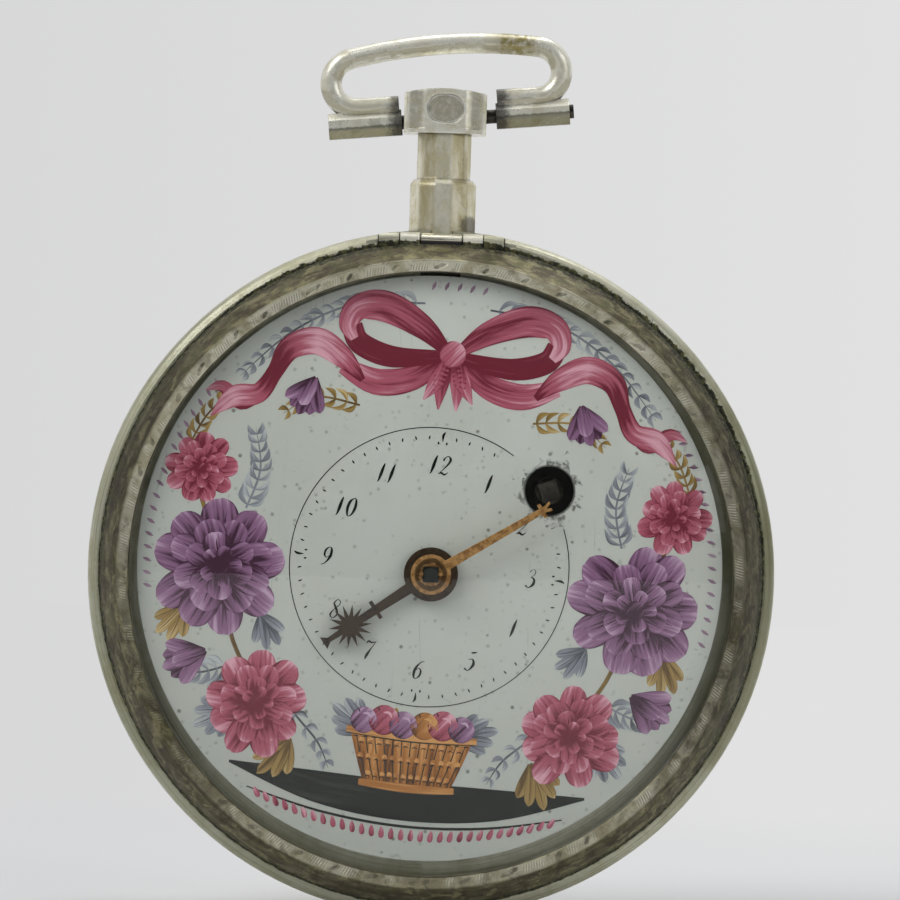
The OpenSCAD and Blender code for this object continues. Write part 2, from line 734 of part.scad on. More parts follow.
// Strip that hangs the movement on the case's hinge
module movement_hinge() {
    arm_half = hinge_half - 2 * knuckle_len - 0.2;
    color([0.85, 0.68, 0.3]) front() difference() {
        union() {
            translate([-arm_half, hinge_screw_y - 1, plate_z])
                cube([2 * arm_half, hinge_y - 0.5 - hinge_screw_y + 1, 0.6]);
            knuckle(-arm_half, arm_half, knuckle_r - 0.05);
        }
        hinge_bore();
        for (x = [-hinge_screw_x, hinge_screw_x]) pivot_hole([x, hinge_screw_y], small_screw_r);
    }
}

// A slotted screw at a place, from its point to the top of its head
module screw(at, head_r, shank_r, z_tip, z_seat, z_top) {
    up = z_top > z_tip ? 1 : -1;
    difference() {
        union() {
            disc(shank_r, min(z_tip, z_seat), max(z_tip, z_seat), at);
            disc(head_r, min(z_seat, z_top), max(z_seat, z_top), at);
        }
        translate([at[0] - head_r - 1, at[1] - head_r / 8, z_top - (up > 0 ? 0.12 : 1)])
            cube([2 * head_r + 2, head_r / 4, up > 0 ? 1 : 1.12]);
    }
}

module hinge_screws() {
    color("steelblue") front() for (x = [-hinge_screw_x, hinge_screw_x])
        screw([x, hinge_screw_y], 0.6, small_screw_r, pillar_z + 0.1, plate_z + 0.6, plate_z + 0.95);
}

module dial() {
    inner = dome(dial_r - 0.05, dial_z, dial_rise, dome_steps);
    color("ivory") front() difference() {
        union() {
            translate([-dial_left, dial_up, 0]) rotate_extrude() polygon(concat(
                dome(dial_r, dial_edge_z, dial_rise, dome_steps),
                [for (i = [dome_steps : -1 : 0]) inner[i]]
            ));
            for (a = dial_foot_angles)
                disc(dial_foot_r, pillar_z - 0.6, dial_z + 0.2, polar(dial_foot_ring, a));
        }
        translate([0, 0, dial_z - 1]) cylinder(r = 1.9, h = 4);
        translate([fusee_at[0], fusee_at[1], dial_z - 1]) cylinder(r = winding_hole_r, h = 4);
        for (a = dial_foot_angles) dial_pin_at(a) cylinder(r = 0.15 + running_fit, h = 4);
    }
}

module dial_pin_at(a) {
    translate(concat(polar(dial_foot_ring, a), [pillar_z - 0.3])) rotate([0, 90, a]) translate([0, 0, -2])
        children();
}

module dial_pins() {
    color("goldenrod") front() for (a = dial_foot_angles)
        dial_pin_at(a) translate([0, 0, 1.1]) cylinder(r = 0.15, h = 1.8);
}

// Hands: the hour hand's wheel and pipe turn round the cannon pinion
hour_z = dial_mid_z + 0.5;
minute_z = hour_z + hand_t + 0.45;
pipe_in_r = 0.95;
hour_pipe_r = 1.45;
hour_wheel_z = plate_z + 0.95;

function clock(a) = 90 - a;

module hour_hand() {
    star_at = 7.6;
    bar_at = 5.2;
    rays = 14;
    color([0.3, 0.25, 0.18]) front() rotate(clock(hour_angle)) difference() {
        union() {
            disc(hour_boss_r, hour_z, hour_z + hand_t);
            slab(hour_z, hour_z + hand_t) polygon([
                [0, 0.5], [star_at, 0.28], [hour_len - 0.5, 0.2], [hour_len, 0.55],
                [hour_len, -0.55], [hour_len - 0.5, -0.2], [star_at, -0.28], [0, -0.5]
            ]);
            slab(hour_z, hour_z + hand_t, [bar_at - 0.15, -0.8]) square([0.3, 1.6]);
            slab(hour_z, hour_z + hand_t, [star_at, 0]) polygon([
                for (i = [0 : 2 * rays - 1]) polar(i % 2 == 0 ? 1.75 : 0.8, i * 180 / rays)
            ]);
        }
        disc(hour_pipe_r + running_fit / 2, hour_z - 1, hour_z + 1);
    }
}

module minute_hand() {
    z0 = minute_z;
    z1 = minute_z + hand_t;
    color([0.72, 0.55, 0.28]) front() rotate(clock(minute_angle)) difference() {
        union() {
            disc(minute_boss_r, z0, z1);
            slab(z0, z1) polygon([
                [0, 0.42], [minute_len - 0.6, 0.24], [minute_len, 0.4], [minute_len, 0.18],
                [minute_len - 0.5, 0], [minute_len - 0.1, -0.16], [minute_len - 0.1, -0.38],
                [minute_len - 0.6, -0.24], [0, -0.42]
            ]);
            slab(z0, z1, [minute_len - 1, -0.6]) square([0.3, 1.2]);
        }
        translate([0, 0, z0 - 1]) rotate(-clock(minute_angle)) linear_extrude(2)
            square(set_square + 0.03, center = true);
    }
}

module hand_pin() {
    color("dimgray") front() translate([-1.1, 0, minute_z + hand_t + 0.22]) rotate([0, 90, 0])
        cylinder(r = 0.14, h = 2.2);
}

module cannon_pinion() {
    neck_z = minute_z - 0.1;
    square_z = minute_z + hand_t + 0.75;
    color([0.35, 0.36, 0.4]) front() difference() {
        union() {
            slab(plate_z + 0.15, plate_z + 0.75)
                pinion_leaves_2d(cannon_teeth, cannon_pr, motion_angle);
            disc(pipe_in_r - 0.05, plate_z + 0.75, neck_z);
            slab(neck_z, square_z) square(set_square, center = true);
        }
        disc(centre_front_r + running_fit, plate_z - 1, neck_z - 0.4);
        translate([-2, 0, minute_z + hand_t + 0.22]) rotate([0, 90, 0]) cylinder(r = 0.16, h = 4);
    }
}

module hour_wheel() {
    color([0.85, 0.68, 0.3]) front() difference() {
        union() {
            slab(hour_wheel_z, hour_wheel_z + 0.35) difference() {
                wheel_teeth(hour_wheel_teeth, hour_wheel_pr, motion_angle);
                crossing(4, 2, 2.75, 0.6);
            }
            disc(hour_pipe_r, hour_wheel_z, hour_z + hand_t - 0.02);
        }
        disc(pipe_in_r + running_fit, plate_z, hour_z + 3);
    }
}

module minute_wheel() {
    color([0.85, 0.68, 0.3]) front() difference() {
        union() {
            slab(plate_z + 0.25, plate_z + 0.6, minute_wheel_at)
                wheel_teeth(minute_wheel_teeth, minute_wheel_pr, motion_angle + 180 + 180 / minute_wheel_teeth);
            slab(plate_z + 0.6, hour_wheel_z + 0.4, minute_wheel_at)
                pinion_leaves_2d(minute_pinion_teeth, minute_pinion_pr, motion_angle + 180 + 180 / minute_pinion_teeth);
        }
        pivot_hole(minute_wheel_at, stud_r);
    }
}

module minute_wheel_stud() {
    color("dimgray") front() disc(stud_r, pillar_z + 0.1, hour_wheel_z + 0.3, minute_wheel_at);
}

// Great wheel with the fusee
module great_wheel() {
    color([0.85, 0.68, 0.3]) front() layer_slab(great_h, great_h + great_t, fusee_at) difference() {
        wheel_teeth(great_teeth, great_pr, fusee_angle + 180);
        circle(r = fusee_front_r + 0.1 + running_fit);
    }
}

function groove_r(i) = fusee_r0 + (fusee_r1 - fusee_r0) * pow(1 - i / fusee_turns, 1.35);
fusee_step = (fusee_h1 - fusee_h0) / fusee_turns;
fusee_crest = 0.09;
fusee_bore_r = fusee_front_r + 0.02;
// Four corners of each turn's groove, as radius and height
fusee_profile = concat(
    [[fusee_bore_r, fusee_h0], [fusee_r1 + 0.15, fusee_h0]],
    [for (i = [0 : fusee_turns - 1], k = [0 : 3])
        [k == 0 || k == 3 ? groove_r(i + k / 3) + 0.15 : groove_r(i + 0.5) - 0.1,
         fusee_h0 + (i + [0, 0, 1, 1][k]) * fusee_step + [fusee_crest, fusee_crest + 0.02, -0.02, 0][k]]],
    [[groove_r(fusee_turns) + 0.15, fusee_h1 + fusee_crest], [fusee_bore_r, fusee_h1 + fusee_crest]]
);

module fusee_cone() {
    color([0.82, 0.66, 0.3]) front() translate(concat(fusee_at, [0])) rotate_extrude()
        polygon([for (p = fusee_profile) [p[0], lift(p[1])]]);
}

// Arbor, stop finger and winding square of the fusee
module fusee_arbor() {
    square_z = dial_mid_z - 0.35;
    color("gray") front() union() {
        disc(0.4, top_z0 + 0.2, top_z1 + 0.1, fusee_at);
        disc(fusee_front_r, top_z1 + 0.1, plate_z + 0.3, fusee_at);
        layer_slab(fusee_h1 + 0.15, fusee_h1 + 0.45, fusee_at) difference() {
            circle(r = 3);
            translate([-4, -5]) square([4, 10]);
            translate([0, -5]) square([4, 4]);
        }
        slab(plate_z + 0.3, square_z, fusee_at)
            rotate(20) square(winding_square, center = true);
    }
}

// Straight run and wraps of the chain, as links with their rivets
chain_h = fusee_h0 + 2.5 * fusee_step + fusee_crest / 2;
chain_fusee_r = groove_r(2.5) + 0.04;
chain_barrel_r = barrel_r + 0.14;
chain_span = norm(fusee_at - barrel_at);
chain_base = atan2(fusee_at[1] - barrel_at[1], fusee_at[0] - barrel_at[0]);
chain_lean = acos((chain_barrel_r - chain_fusee_r) / chain_span);
chain_side = chain_base + chain_lean;
chain_start = barrel_at + polar(chain_barrel_r, chain_side);
chain_end = fusee_at + polar(chain_fusee_r, chain_side);
chain_run = norm(chain_end - chain_start);

module link(i, len) {
    half = len / 2 + 0.1;
    if (i % 2 == 0) translate([-half, -0.1, -0.045]) cube([2 * half, 0.2, 0.09]);
    else for (z = [-0.15, 0.06]) translate([-half, -0.1, z]) cube([2 * half, 0.2, 0.09]);
    translate([len / 2, 0, -0.15]) cylinder(r = 0.06, h = 0.3);
}

module fusee_chain() {
    straight = floor(chain_run / link_pitch);
    pitch = chain_run / straight;
    barrel_step = 2 * asin(link_pitch / 2 / chain_barrel_r);
    fusee_step_a = 2 * asin(link_pitch / 2 / chain_fusee_r);
    color([0.4, 0.4, 0.42]) front() translate([0, 0, lift(chain_h)]) {
        for (i = [0 : straight - 1])
            translate(concat(chain_start + (chain_end - chain_start) * (i + 0.5) / straight, [0]))
                rotate(chain_side - 90) link(i, pitch);
        for (i = [1 : 20])
            translate(concat(barrel_at, [0])) rotate(chain_side + barrel_step * (i - 0.5))
                translate([chain_barrel_r, 0, 0]) rotate(-90) link(i, link_pitch);
        for (i = [1 : 12])
            translate(concat(fusee_at, [0])) rotate(chain_side - fusee_step_a * (i - 0.5))
                translate([chain_fusee_r, 0, 0]) rotate(90) link(i + straight, link_pitch);
    }
}

module barrel_drum() {
    color([0.85, 0.68, 0.3]) front() difference() {
        layer(barrel_r, barrel_h0, barrel_h1 - 0.4, barrel_at);
        layer(barrel_r - barrel_wall, barrel_h0 + 0.5, barrel_h1, barrel_at);
        pivot_hole(barrel_at, barrel_arbor_r);
    }
}

module barrel_cover() {
    color([0.88, 0.7, 0.32]) front() difference() {
        layer(barrel_r, barrel_h1 - 0.4, barrel_h1, barrel_at);
        pivot_hole(barrel_at, barrel_arbor_r);
    }
}

module barrel_arbor() {
    color("gray") front() union() {
        disc(barrel_arbor_r - 0.3, top_z0 + 0.1, top_z1 + 0.05, barrel_at);
        disc(barrel_arbor_r, top_z1 + 0.05, plate_z + 0.1, barrel_at);
        slab(plate_z + 0.1, plate_z + 1, barrel_at) square(barrel_arbor_r * 1.3, center = true);
    }
}

// A flat spiral band from r0 to r1, as an outline
function spiral(r0, r1, turns, steps, round_part) = [
    for (i = [0 : turns * steps])
        polar(min(r1, r0 + (r1 - r0) * i / ((turns - round_part) * steps)), i * 360 / steps)
];
module spiral_band(r0, r1, turns, w, steps, round_part = 0) {
    outer = spiral(r0 + w / 2, r1 + w / 2, turns, steps, round_part);
    inner = spiral(r0 - w / 2, r1 - w / 2, turns, steps, round_part);
    polygon(concat(outer, [for (i = [len(inner) - 1 : -1 : 0]) inner[i]]));
}

module mainspring() {
    inner_r = barrel_arbor_r + 0.25;
    outer_r = barrel_r - barrel_wall - 0.25;
    color([0.25, 0.28, 0.35]) front() layer_slab(barrel_h0 + 0.6, barrel_h1 - 0.5, barrel_at)
        spiral_band(inner_r, outer_r, mainspring_turns, 0.22, 24);
}

// Set-up ratchet and click under the dial
ratchet_r = 2.3;
click_reach = ratchet_r + 1.92;
click_direction = 22.3;
click_at = barrel_at + polar(click_reach, click_direction);
module setup_ratchet() {
    teeth = 16;
    color("gray") front() slab(plate_z + 0.15, plate_z + 0.55, barrel_at) difference() {
        polygon([for (i = [0 : teeth - 1], k = [0, 1])
            polar(k == 0 ? ratchet_r : ratchet_r - 0.4, (i + k * 0.9) * 360 / teeth)]);
        square(barrel_arbor_r * 1.3 + 0.04, center = true);
    }
}

module setup_click() {
    color("gray") front() slab(plate_z + 0.15, plate_z + 0.55) difference() {
        union() {
            translate(click_at) circle(r = 0.75);
            polygon([
                click_at + [-0.3, 0.6], barrel_at + polar(ratchet_r + 0.1, 38),
                barrel_at + polar(ratchet_r + 0.1, 30), click_at + [0, -0.7]
            ]);
        }
        translate(click_at) circle(r = small_screw_r + running_fit);
    }
}

module click_screw() {
    color("steelblue") front()
        screw(click_at, 0.65, small_screw_r, pillar_z + 0.1, plate_z + 0.58, plate_z + 0.9);
}

// Arm that the last turn of chain lifts in front of the fusee's finger
module stop_arm() {
    from = fusee_at + polar(8.2, 55);
    color("gray") front() union() {
        layer(0.9, pillar_h - 0.45, pillar_h - 0.02, from);
        layer_slab(pillar_h - 0.4, pillar_h - 0.12) polygon([
            from + [0.6, -0.5], from + [-0.6, 0.5],
            fusee_at + polar(3.3, 62), fusee_at + polar(3.3, 48)
        ]);
    }
}

// Centre wheel with its pinion, and its arbor with the thin front end inside the cannon pinion
module centre_wheel() {
    color([0.85, 0.68, 0.3]) front() layer_slab(centre_h, centre_h + centre_t) difference() {
        wheel_teeth(centre_teeth, centre_pr, third_angle);
        crossing(4, 1.5, centre_pr - 0.9, 0.8, 20);
        circle(r = 0.7 + running_fit);
    }
}

module centre_arbor() {
    color("gray") front() union() {
        disc(pivot_r, top_z0 + 0.2, top_z1 + 0.15);
        disc(arbor_r, top_z1 + 0.15, lift(great_h + great_t + 0.2));
        layer_slab(centre_h + centre_t + 0.05, great_h + great_t + 0.2)
            pinion_leaves_2d(centre_leaves, centre_pinion_pr, fusee_angle + 180 / centre_leaves);
        disc(0.7, lift(centre_h + centre_t + 0.05), lift(0.1));
        disc(centre_front_r, lift(0.1), minute_z - 0.6);
    }
}

// A vertical arbor between the plates with its two pivots
module arbor(at) {
    disc(pivot_r, top_z0 + 0.2, top_z1 + 0.1, at);
    disc(arbor_r, top_z1 + 0.1, pillar_z - 0.1, at);
    disc(pivot_r, pillar_z - 0.1, plate_z - 0.2, at);
}

module third_wheel() {
    color([0.85, 0.68, 0.3]) front() union() {
        layer_slab(third_h, third_h + wheel_t, third_at) difference() {
            wheel_teeth(third_teeth, third_pr, contrate_angle);
            crossing(4, 0.9, third_pr - 0.7, 0.55, 30);
        }
        layer_slab(0.15, third_h, third_at)
            pinion_leaves_2d(pinion_leaves, third_pinion_pr, third_angle + 180 + 180 / pinion_leaves);
        arbor(third_at);
    }
}

// Contrate wheel: a crown of teeth that stands up from a crossed-out disc
contrate_tip_h = crown_h - crown_pinion_pr + 0.12;
contrate_root_h = contrate_tip_h - 0.34;
contrate_in_r = contrate_r - 0.25;
contrate_out_r = contrate_r + 0.2;
module contrate_wheel() {
    pitch = 2 * PI * contrate_r / contrate_teeth;
    color([0.85, 0.68, 0.3]) front() union() {
        difference() {
            layer(contrate_out_r, contrate_h, contrate_tip_h, contrate_at);
            layer(contrate_in_r, contrate_h + wheel_t, contrate_tip_h + 1, contrate_at);
            layer_slab(contrate_h - 1, contrate_tip_h, contrate_at)
                crossing(4, 0.9, contrate_in_r - 0.2, 0.55, 10);
            for (i = [0 : contrate_teeth - 1])
                translate([contrate_at[0], contrate_at[1], lift(contrate_root_h)])
                    rotate(i * 360 / contrate_teeth) rotate([90, 0, 90]) translate([0, 0, contrate_in_r - 0.3])
                        linear_extrude(1) polygon([
                            [-pitch * 0.22, 0], [pitch * 0.22, 0],
                            [pitch * 0.36, -1], [-pitch * 0.36, -1]
                        ]);
        }
        layer_slab(contrate_pinion_h, contrate_h, contrate_at)
            pinion_leaves_2d(pinion_leaves, contrate_pinion_pr, contrate_angle + 180 + 180 / pinion_leaves);
        arbor(contrate_at);
    }
}

// Frame of the crown wheel: z along its arbor towards the verge, from the contrate wheel's axis
module crown_frame() {
    translate([contrate_at[0], contrate_at[1], lift(crown_h)]) rotate([0, 90, 0]) children();
}

module crown_wheel() {
    tip = verge_reach - crown_drop;
    web = tip - crown_len;
    tooth_len = 0.55;
    pitch = 2 * PI * crown_r / crown_teeth;
    color([0.82, 0.66, 0.3]) front() crown_frame() union() {
        difference() {
            translate([0, 0, web]) cylinder(r = crown_r, h = crown_len);
            translate([0, 0, web + 0.2]) cylinder(r = crown_r - 0.22, h = crown_len);
            for (i = [0 : 2]) rotate(i * 120) translate([1.12, 0, web - 1]) cylinder(r = 0.48, h = 2);
            for (i = [0 : crown_teeth - 1])
                rotate(i * 360 / crown_teeth) translate([0, 0, tip - tooth_len])
                    rotate([90, 0, 90]) linear_extrude(crown_r + 1) polygon([
                        [-pitch * 0.44, 0], [pitch * 0.4, tooth_len * 1.2], [-pitch * 0.5, tooth_len * 1.2]
                    ]);
        }
        translate([0, 0, contrate_in_r - 0.2])
            linear_extrude(contrate_out_r - contrate_in_r + 0.4)
                pinion_leaves_2d(pinion_leaves, crown_pinion_pr, 0);
        translate([0, 0, contrate_in_r - 0.6]) cylinder(r = 0.28, h = web + 0.2 - contrate_in_r + 0.6);
        translate([0, 0, 2.25]) cylinder(r = 0.18, h = 1.5);
        translate([0, 0, web + 0.1]) cylinder(r = 0.1, h = verge_reach - web - 0.1 - 0.32);
    }
}

// Potence: hangs from the top plate, with the verge's foot hole and the crown wheel's nose
module potence() {
    post_y = 1.1;
    color([0.85, 0.68, 0.3]) front() translate([verge_at[0], verge_at[1], 0]) difference() {
        union() {
            translate([-0.5, post_y, top_z1]) cube([1.8, 1.3, pillar_h - 0.05]);
            translate([-0.5, -0.6, pillar_z - 0.4]) cube([1.8, 0.6 + post_y + 0.1, 0.35]);
            translate([-0.53, -0.4, lift(crown_h) - 0.45]) cube([0.24, 0.4 + post_y + 0.1, 0.9]);
        }
        disc(0.12 + running_fit, pillar_z - 1, pillar_z + 1);
        translate([-1, 0, lift(crown_h)]) rotate([0, 90, 0]) cylinder(r = 0.1 + running_fit, h = 1);
    }
}

module counter_potence() {
    color([0.85, 0.68, 0.3]) front() difference() {
        translate([contrate_at[0] + 2.2, contrate_at[1] - 0.8, top_z1])
            cube([0.75, 1.6, pillar_h - crown_h + 0.4]);
        crown_frame() cylinder(r = 0.18 + running_fit, h = 3.5);
    }
}

// Balance staff with its two pallets, set at right angles nearly
module verge_staff() {
    pallet_h = 0.5;
    pallet_at = crown_r - 0.1;
    color([0.3, 0.32, 0.38]) front() translate([verge_at[0], verge_at[1], 0]) union() {
        disc(0.12, bridge_z0 + 0.1, balance_z0 - 0.3);
        disc(staff_r, balance_z0 - 0.3, pillar_z - 0.55);
        disc(0.12, pillar_z - 0.55, pillar_z - 0.1);
        disc(0.9, balance_z0 - 0.15, balance_z0);
        disc(collet_r, balance_z1 + 0.05, spring_z1 + 0.05);
        for (side = [-1, 1])
            translate([0, 0, lift(crown_h) + side * pallet_at - pallet_h / 2])
                rotate(180 + side * 50) translate([0, -0.1, 0]) cube([pallet_reach, 0.2, pallet_h]);
    }
}

balance_hub_r = 1.2;
balance_arm_w = 0.8;
module balance_wheel() {
    color([0.85, 0.68, 0.3]) front() slab(balance_z0, balance_z1, verge_at) difference() {
        circle(r = balance_r);
        crossing(3, balance_hub_r, balance_r - balance_rim_w, balance_arm_w, 30);
        circle(r = staff_r + running_fit);
    }
}

module balance_spring() {
    color([0.2, 0.25, 0.4]) front() slab(spring_z0, spring_z1, verge_at)
        spiral_band(collet_r + 0.05, balance_spring_r, balance_spring_turns, 0.1, 24, 0.85);
}

module spring_stud() {
    color([0.85, 0.68, 0.3]) front()
        disc(0.4, spring_z0 - 0.05, top_z0, verge_at + polar(balance_spring_r + 0.5, 0));
}

// Pierced balance bridge with two feet
module balance_bridge() {
    color([0.88, 0.7, 0.32]) front() difference() {
        union() {
            disc(bridge_r, bridge_z0, bridge_z1, verge_at);
            slab(bridge_z0, bridge_z1, verge_at) rotate(bridge_angle)
                square([2 * bridge_foot_d, 1.6 * bridge_foot_r], center = true);
            for (a = [0, 180])
                disc(bridge_foot_r, bridge_z0, top_z0, verge_at + polar(bridge_foot_d, bridge_angle + a));
        }
        slab(bridge_z0 - 1, bridge_z1 + 1, verge_at) bridge_piercing();
        for (a = [0, 180]) {
            pivot_hole(verge_at + polar(bridge_foot_d, bridge_angle + a), bridge_screw_r);
            disc(1.0, bridge_z0 - 1, bridge_z0 + 0.5, verge_at + polar(bridge_foot_d, bridge_angle + a));
        }
        disc(0.12 + running_fit, bridge_z0 - 1, bridge_z1 + 1, verge_at);
    }
}

// Scrolls in mirrored pairs, with a ring of leaves inside and outside them
scroll_r = 1.6;
scroll_w = 0.8;
scroll_steps = 14;
function scroll_edge(side) = [
    for (i = [0 : scroll_steps]) let (t = i / scroll_steps)
        polar(scroll_r * (1 - 0.62 * t) + side * scroll_w / 2 * sin(180 * pow(t, 0.8)), 340 * t)
];
module scroll() {
    inner = scroll_edge(-1);
    polygon(concat(scroll_edge(1), [for (i = [scroll_steps - 1 : -1 : 1]) inner[i]]));
}

module leaf(len, w) {
    polygon(concat(
        [for (i = [0 : 5]) [len * (i / 6 - 0.5), w / 2 * sin(30 * i)]],
        [for (i = [6 : -1 : 1]) [len * (i / 6 - 0.5), -w / 2 * sin(30 * i)]]
    ));
}

module bridge_piercing() {
    pairs = 6;
    for (i = [0 : pairs - 1]) rotate((i + 0.5) * 360 / pairs + bridge_angle) {
        for (side = [0, 1]) mirror([0, side, 0]) rotate(90 / pairs)
            translate([bridge_r * 0.65, 0]) rotate(215) scroll();
        rotate(180 / pairs) translate([bridge_r * 0.4, 0]) leaf(2.9, 1.35);
        translate([bridge_r * 0.33, 0]) leaf(2, 0.9);
        rotate(180 / pairs) translate([bridge_r * 0.73, 0]) leaf(1.9, 0.6);
        for (side = [-1, 1])
            rotate(side * 90 / pairs) translate([bridge_r * 0.905, 0]) rotate(90) leaf(3.4, 0.75);
    }
}

module bridge_cap() {
    color([0.35, 0.38, 0.5]) front() disc(1.7, cap_z, bridge_z0, verge_at);
}

module bridge_screws() {
    color("steelblue") front() for (a = [0, 180])
        screw(verge_at + polar(bridge_foot_d, bridge_angle + a), 0.92, bridge_screw_r,
            top_z1 - 0.1, bridge_z0 + 0.5, bridge_z0 + 0.02);
}

// Silvered disc over the rack's pinion, on two short feet
disc_z0 = rack_z0 - 0.55;
disc_z1 = rack_z0 - 0.1;
module regulator_disc() {
    color([0.8, 0.8, 0.78]) front() difference() {
        union() {
            disc(regulator_disc_r, disc_z0, disc_z1, disc_at);
            for (a = [-55, 55])
                disc(0.4, disc_z1 - eps, top_z0, disc_at + polar(regulator_disc_r - 0.5, regulator_angle + a));
        }
        pivot_hole(disc_at, 0.35);
    }
}

module regulator_hand() {
    pinion_turn = regulator_angle + 180 + 180 / regulator_pinion_teeth;
    color([0.25, 0.3, 0.45]) front() union() {
        slab(rack_z0, rack_z1, disc_at) pinion_leaves_2d(regulator_pinion_teeth, regulator_pr, pinion_turn);
        disc(0.35, disc_z0 - 0.25, rack_z0 + eps, disc_at);
        slab(disc_z0 - 0.5, disc_z0 - 0.08, disc_at) rotate(regulator_angle) {
            circle(r = 0.7);
            polygon([[0, 0.3], [regulator_disc_r - 0.5, 0], [0, -0.3]]);
        }
    }
}

// Toothed arc round the balance spring, with two pins that hold the spring's outer coil
module regulator_rack() {
    m = 2 * rack_pr / rack_circle_teeth;
    rack_in_r = rack_pr - 1.1;
    arm_a = rack_half - 3;
    color([0.6, 0.6, 0.62]) front() translate([verge_at[0], verge_at[1], 0]) rotate(regulator_angle) {
        slab(rack_z0, rack_z1) difference() {
            intersection() {
                wheel_teeth(rack_circle_teeth, rack_pr);
                polygon(concat([[0, 0]], [for (k = [-1 : 0.5 : 1]) polar(rack_pr * 1.4, k * rack_half)]));
            }
            circle(r = rack_in_r);
        }
        slab(rack_z0, rack_z1) rotate(arm_a) translate([balance_spring_r - 0.5, -0.4])
            square([rack_in_r - balance_spring_r + 0.7, 0.8]);
        for (d = [-0.25, 0.25]) rotate(arm_a) translate([balance_spring_r + d, 0, spring_z0])
            cylinder(r = 0.08, h = rack_z0 - spring_z0 + 0.05);
    }
}

// Catch at 6 o'clock and the spring that pushes it out
module movement_catch() {
    color("gray") front() union() {
        translate([-1.1, -bore_r + 0.3, plate_z + 0.08]) cube([2.2, 4.4, 0.55]);
        translate([-0.8, -bore_r + 0.3, plate_z + 0.6]) cube([1.6, 0.8, 0.5]);
    }
}

module catch_spring() {
    bend_r = 1.3;
    color([0.3, 0.32, 0.4]) front()
        translate([0, -bore_r + 4.75 + bend_r + 0.14, plate_z + 0.22]) rotate(120)
            rotate_extrude(angle = 300) translate([bend_r, 0]) square([0.22, 0.4], center = true);
}

case_body();
hinge_pin();
pendant();
pendant_head();
bow_pin();
bow();
bezel();
glass();
pillar_plate();
top_plate();
pillars();
pillar_pins();
movement_hinge();
hinge_screws();
dial();
dial_pins();
hour_hand();
minute_hand();
hand_pin();
cannon_pinion();
hour_wheel();
minute_wheel();
minute_wheel_stud();
great_wheel();
fusee_cone();
fusee_arbor();
fusee_chain();
barrel_drum();
barrel_cover();
barrel_arbor();
mainspring();
setup_ratchet();
setup_click();
click_screw();
stop_arm();
centre_wheel();
centre_arbor();
third_wheel();
contrate_wheel();
crown_wheel();
potence();
counter_potence();
verge_staff();
balance_wheel();
balance_spring();
spring_stud();
balance_bridge();
bridge_cap();
bridge_screws();
regulator_disc();
regulator_hand();
regulator_rack();
movement_catch();
catch_spring();
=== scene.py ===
import bpy
import math
import random
from mathutils import Matrix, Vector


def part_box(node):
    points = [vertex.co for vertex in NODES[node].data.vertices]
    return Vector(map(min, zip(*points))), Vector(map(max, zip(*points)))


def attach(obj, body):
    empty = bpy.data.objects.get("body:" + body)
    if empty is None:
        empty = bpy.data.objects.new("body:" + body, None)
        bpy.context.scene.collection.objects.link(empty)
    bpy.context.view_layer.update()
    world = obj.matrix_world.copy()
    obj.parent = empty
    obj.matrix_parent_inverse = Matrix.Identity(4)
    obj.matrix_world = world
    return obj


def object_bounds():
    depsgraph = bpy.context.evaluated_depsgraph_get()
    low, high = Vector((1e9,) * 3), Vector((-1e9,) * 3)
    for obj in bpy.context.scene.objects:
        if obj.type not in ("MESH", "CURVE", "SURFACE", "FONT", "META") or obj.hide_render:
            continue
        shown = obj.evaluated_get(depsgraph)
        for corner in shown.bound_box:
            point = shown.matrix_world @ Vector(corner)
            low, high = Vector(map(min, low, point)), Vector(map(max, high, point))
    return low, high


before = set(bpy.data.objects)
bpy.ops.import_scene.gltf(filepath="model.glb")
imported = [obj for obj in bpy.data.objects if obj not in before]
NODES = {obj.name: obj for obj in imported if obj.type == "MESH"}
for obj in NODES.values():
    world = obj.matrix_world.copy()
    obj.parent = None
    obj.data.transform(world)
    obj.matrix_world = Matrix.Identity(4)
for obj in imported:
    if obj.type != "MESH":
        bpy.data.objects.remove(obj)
cad_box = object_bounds()
MM = 0.001


def add_object(name, data):
    """A new object in the scene."""
    obj = bpy.data.objects.new(name, data)
    bpy.context.scene.collection.objects.link(obj)
    return obj


# Camera: straight at the dial, rolled as in the photograph
ROLL_DEG = 1.8
VIEW_X, VIEW_Z = 1.209, 9.933
REFERENCE_Y = -11.5
CAMERA_DISTANCE = 500.0
VIEW_WIDTH = 72.09

camera_data = bpy.data.cameras.new("camera")
camera_data.lens = camera_data.sensor_width * CAMERA_DISTANCE / VIEW_WIDTH
camera_data.clip_start = 0.01
camera = add_object("camera", camera_data)
camera.location = (VIEW_X * MM, (REFERENCE_Y - CAMERA_DISTANCE) * MM, VIEW_Z * MM)
turn = Matrix.Rotation(math.radians(-ROLL_DEG), 3, "Y") @ Matrix.Rotation(math.pi / 2, 3, "X")
camera.rotation_euler = turn.to_euler()
bpy.context.scene.camera = camera
bpy.context.scene.view_settings.view_transform = "Standard"


def tint(red, green, blue):
    """A colour given as it is seen, 0 to 255, as the linear colour that shaders take."""
    return tuple(
        c / 255 / 12.92 if c <= 10 else ((c / 255 + 0.055) / 1.055) ** 2.4
        for c in (red, green, blue)
    )


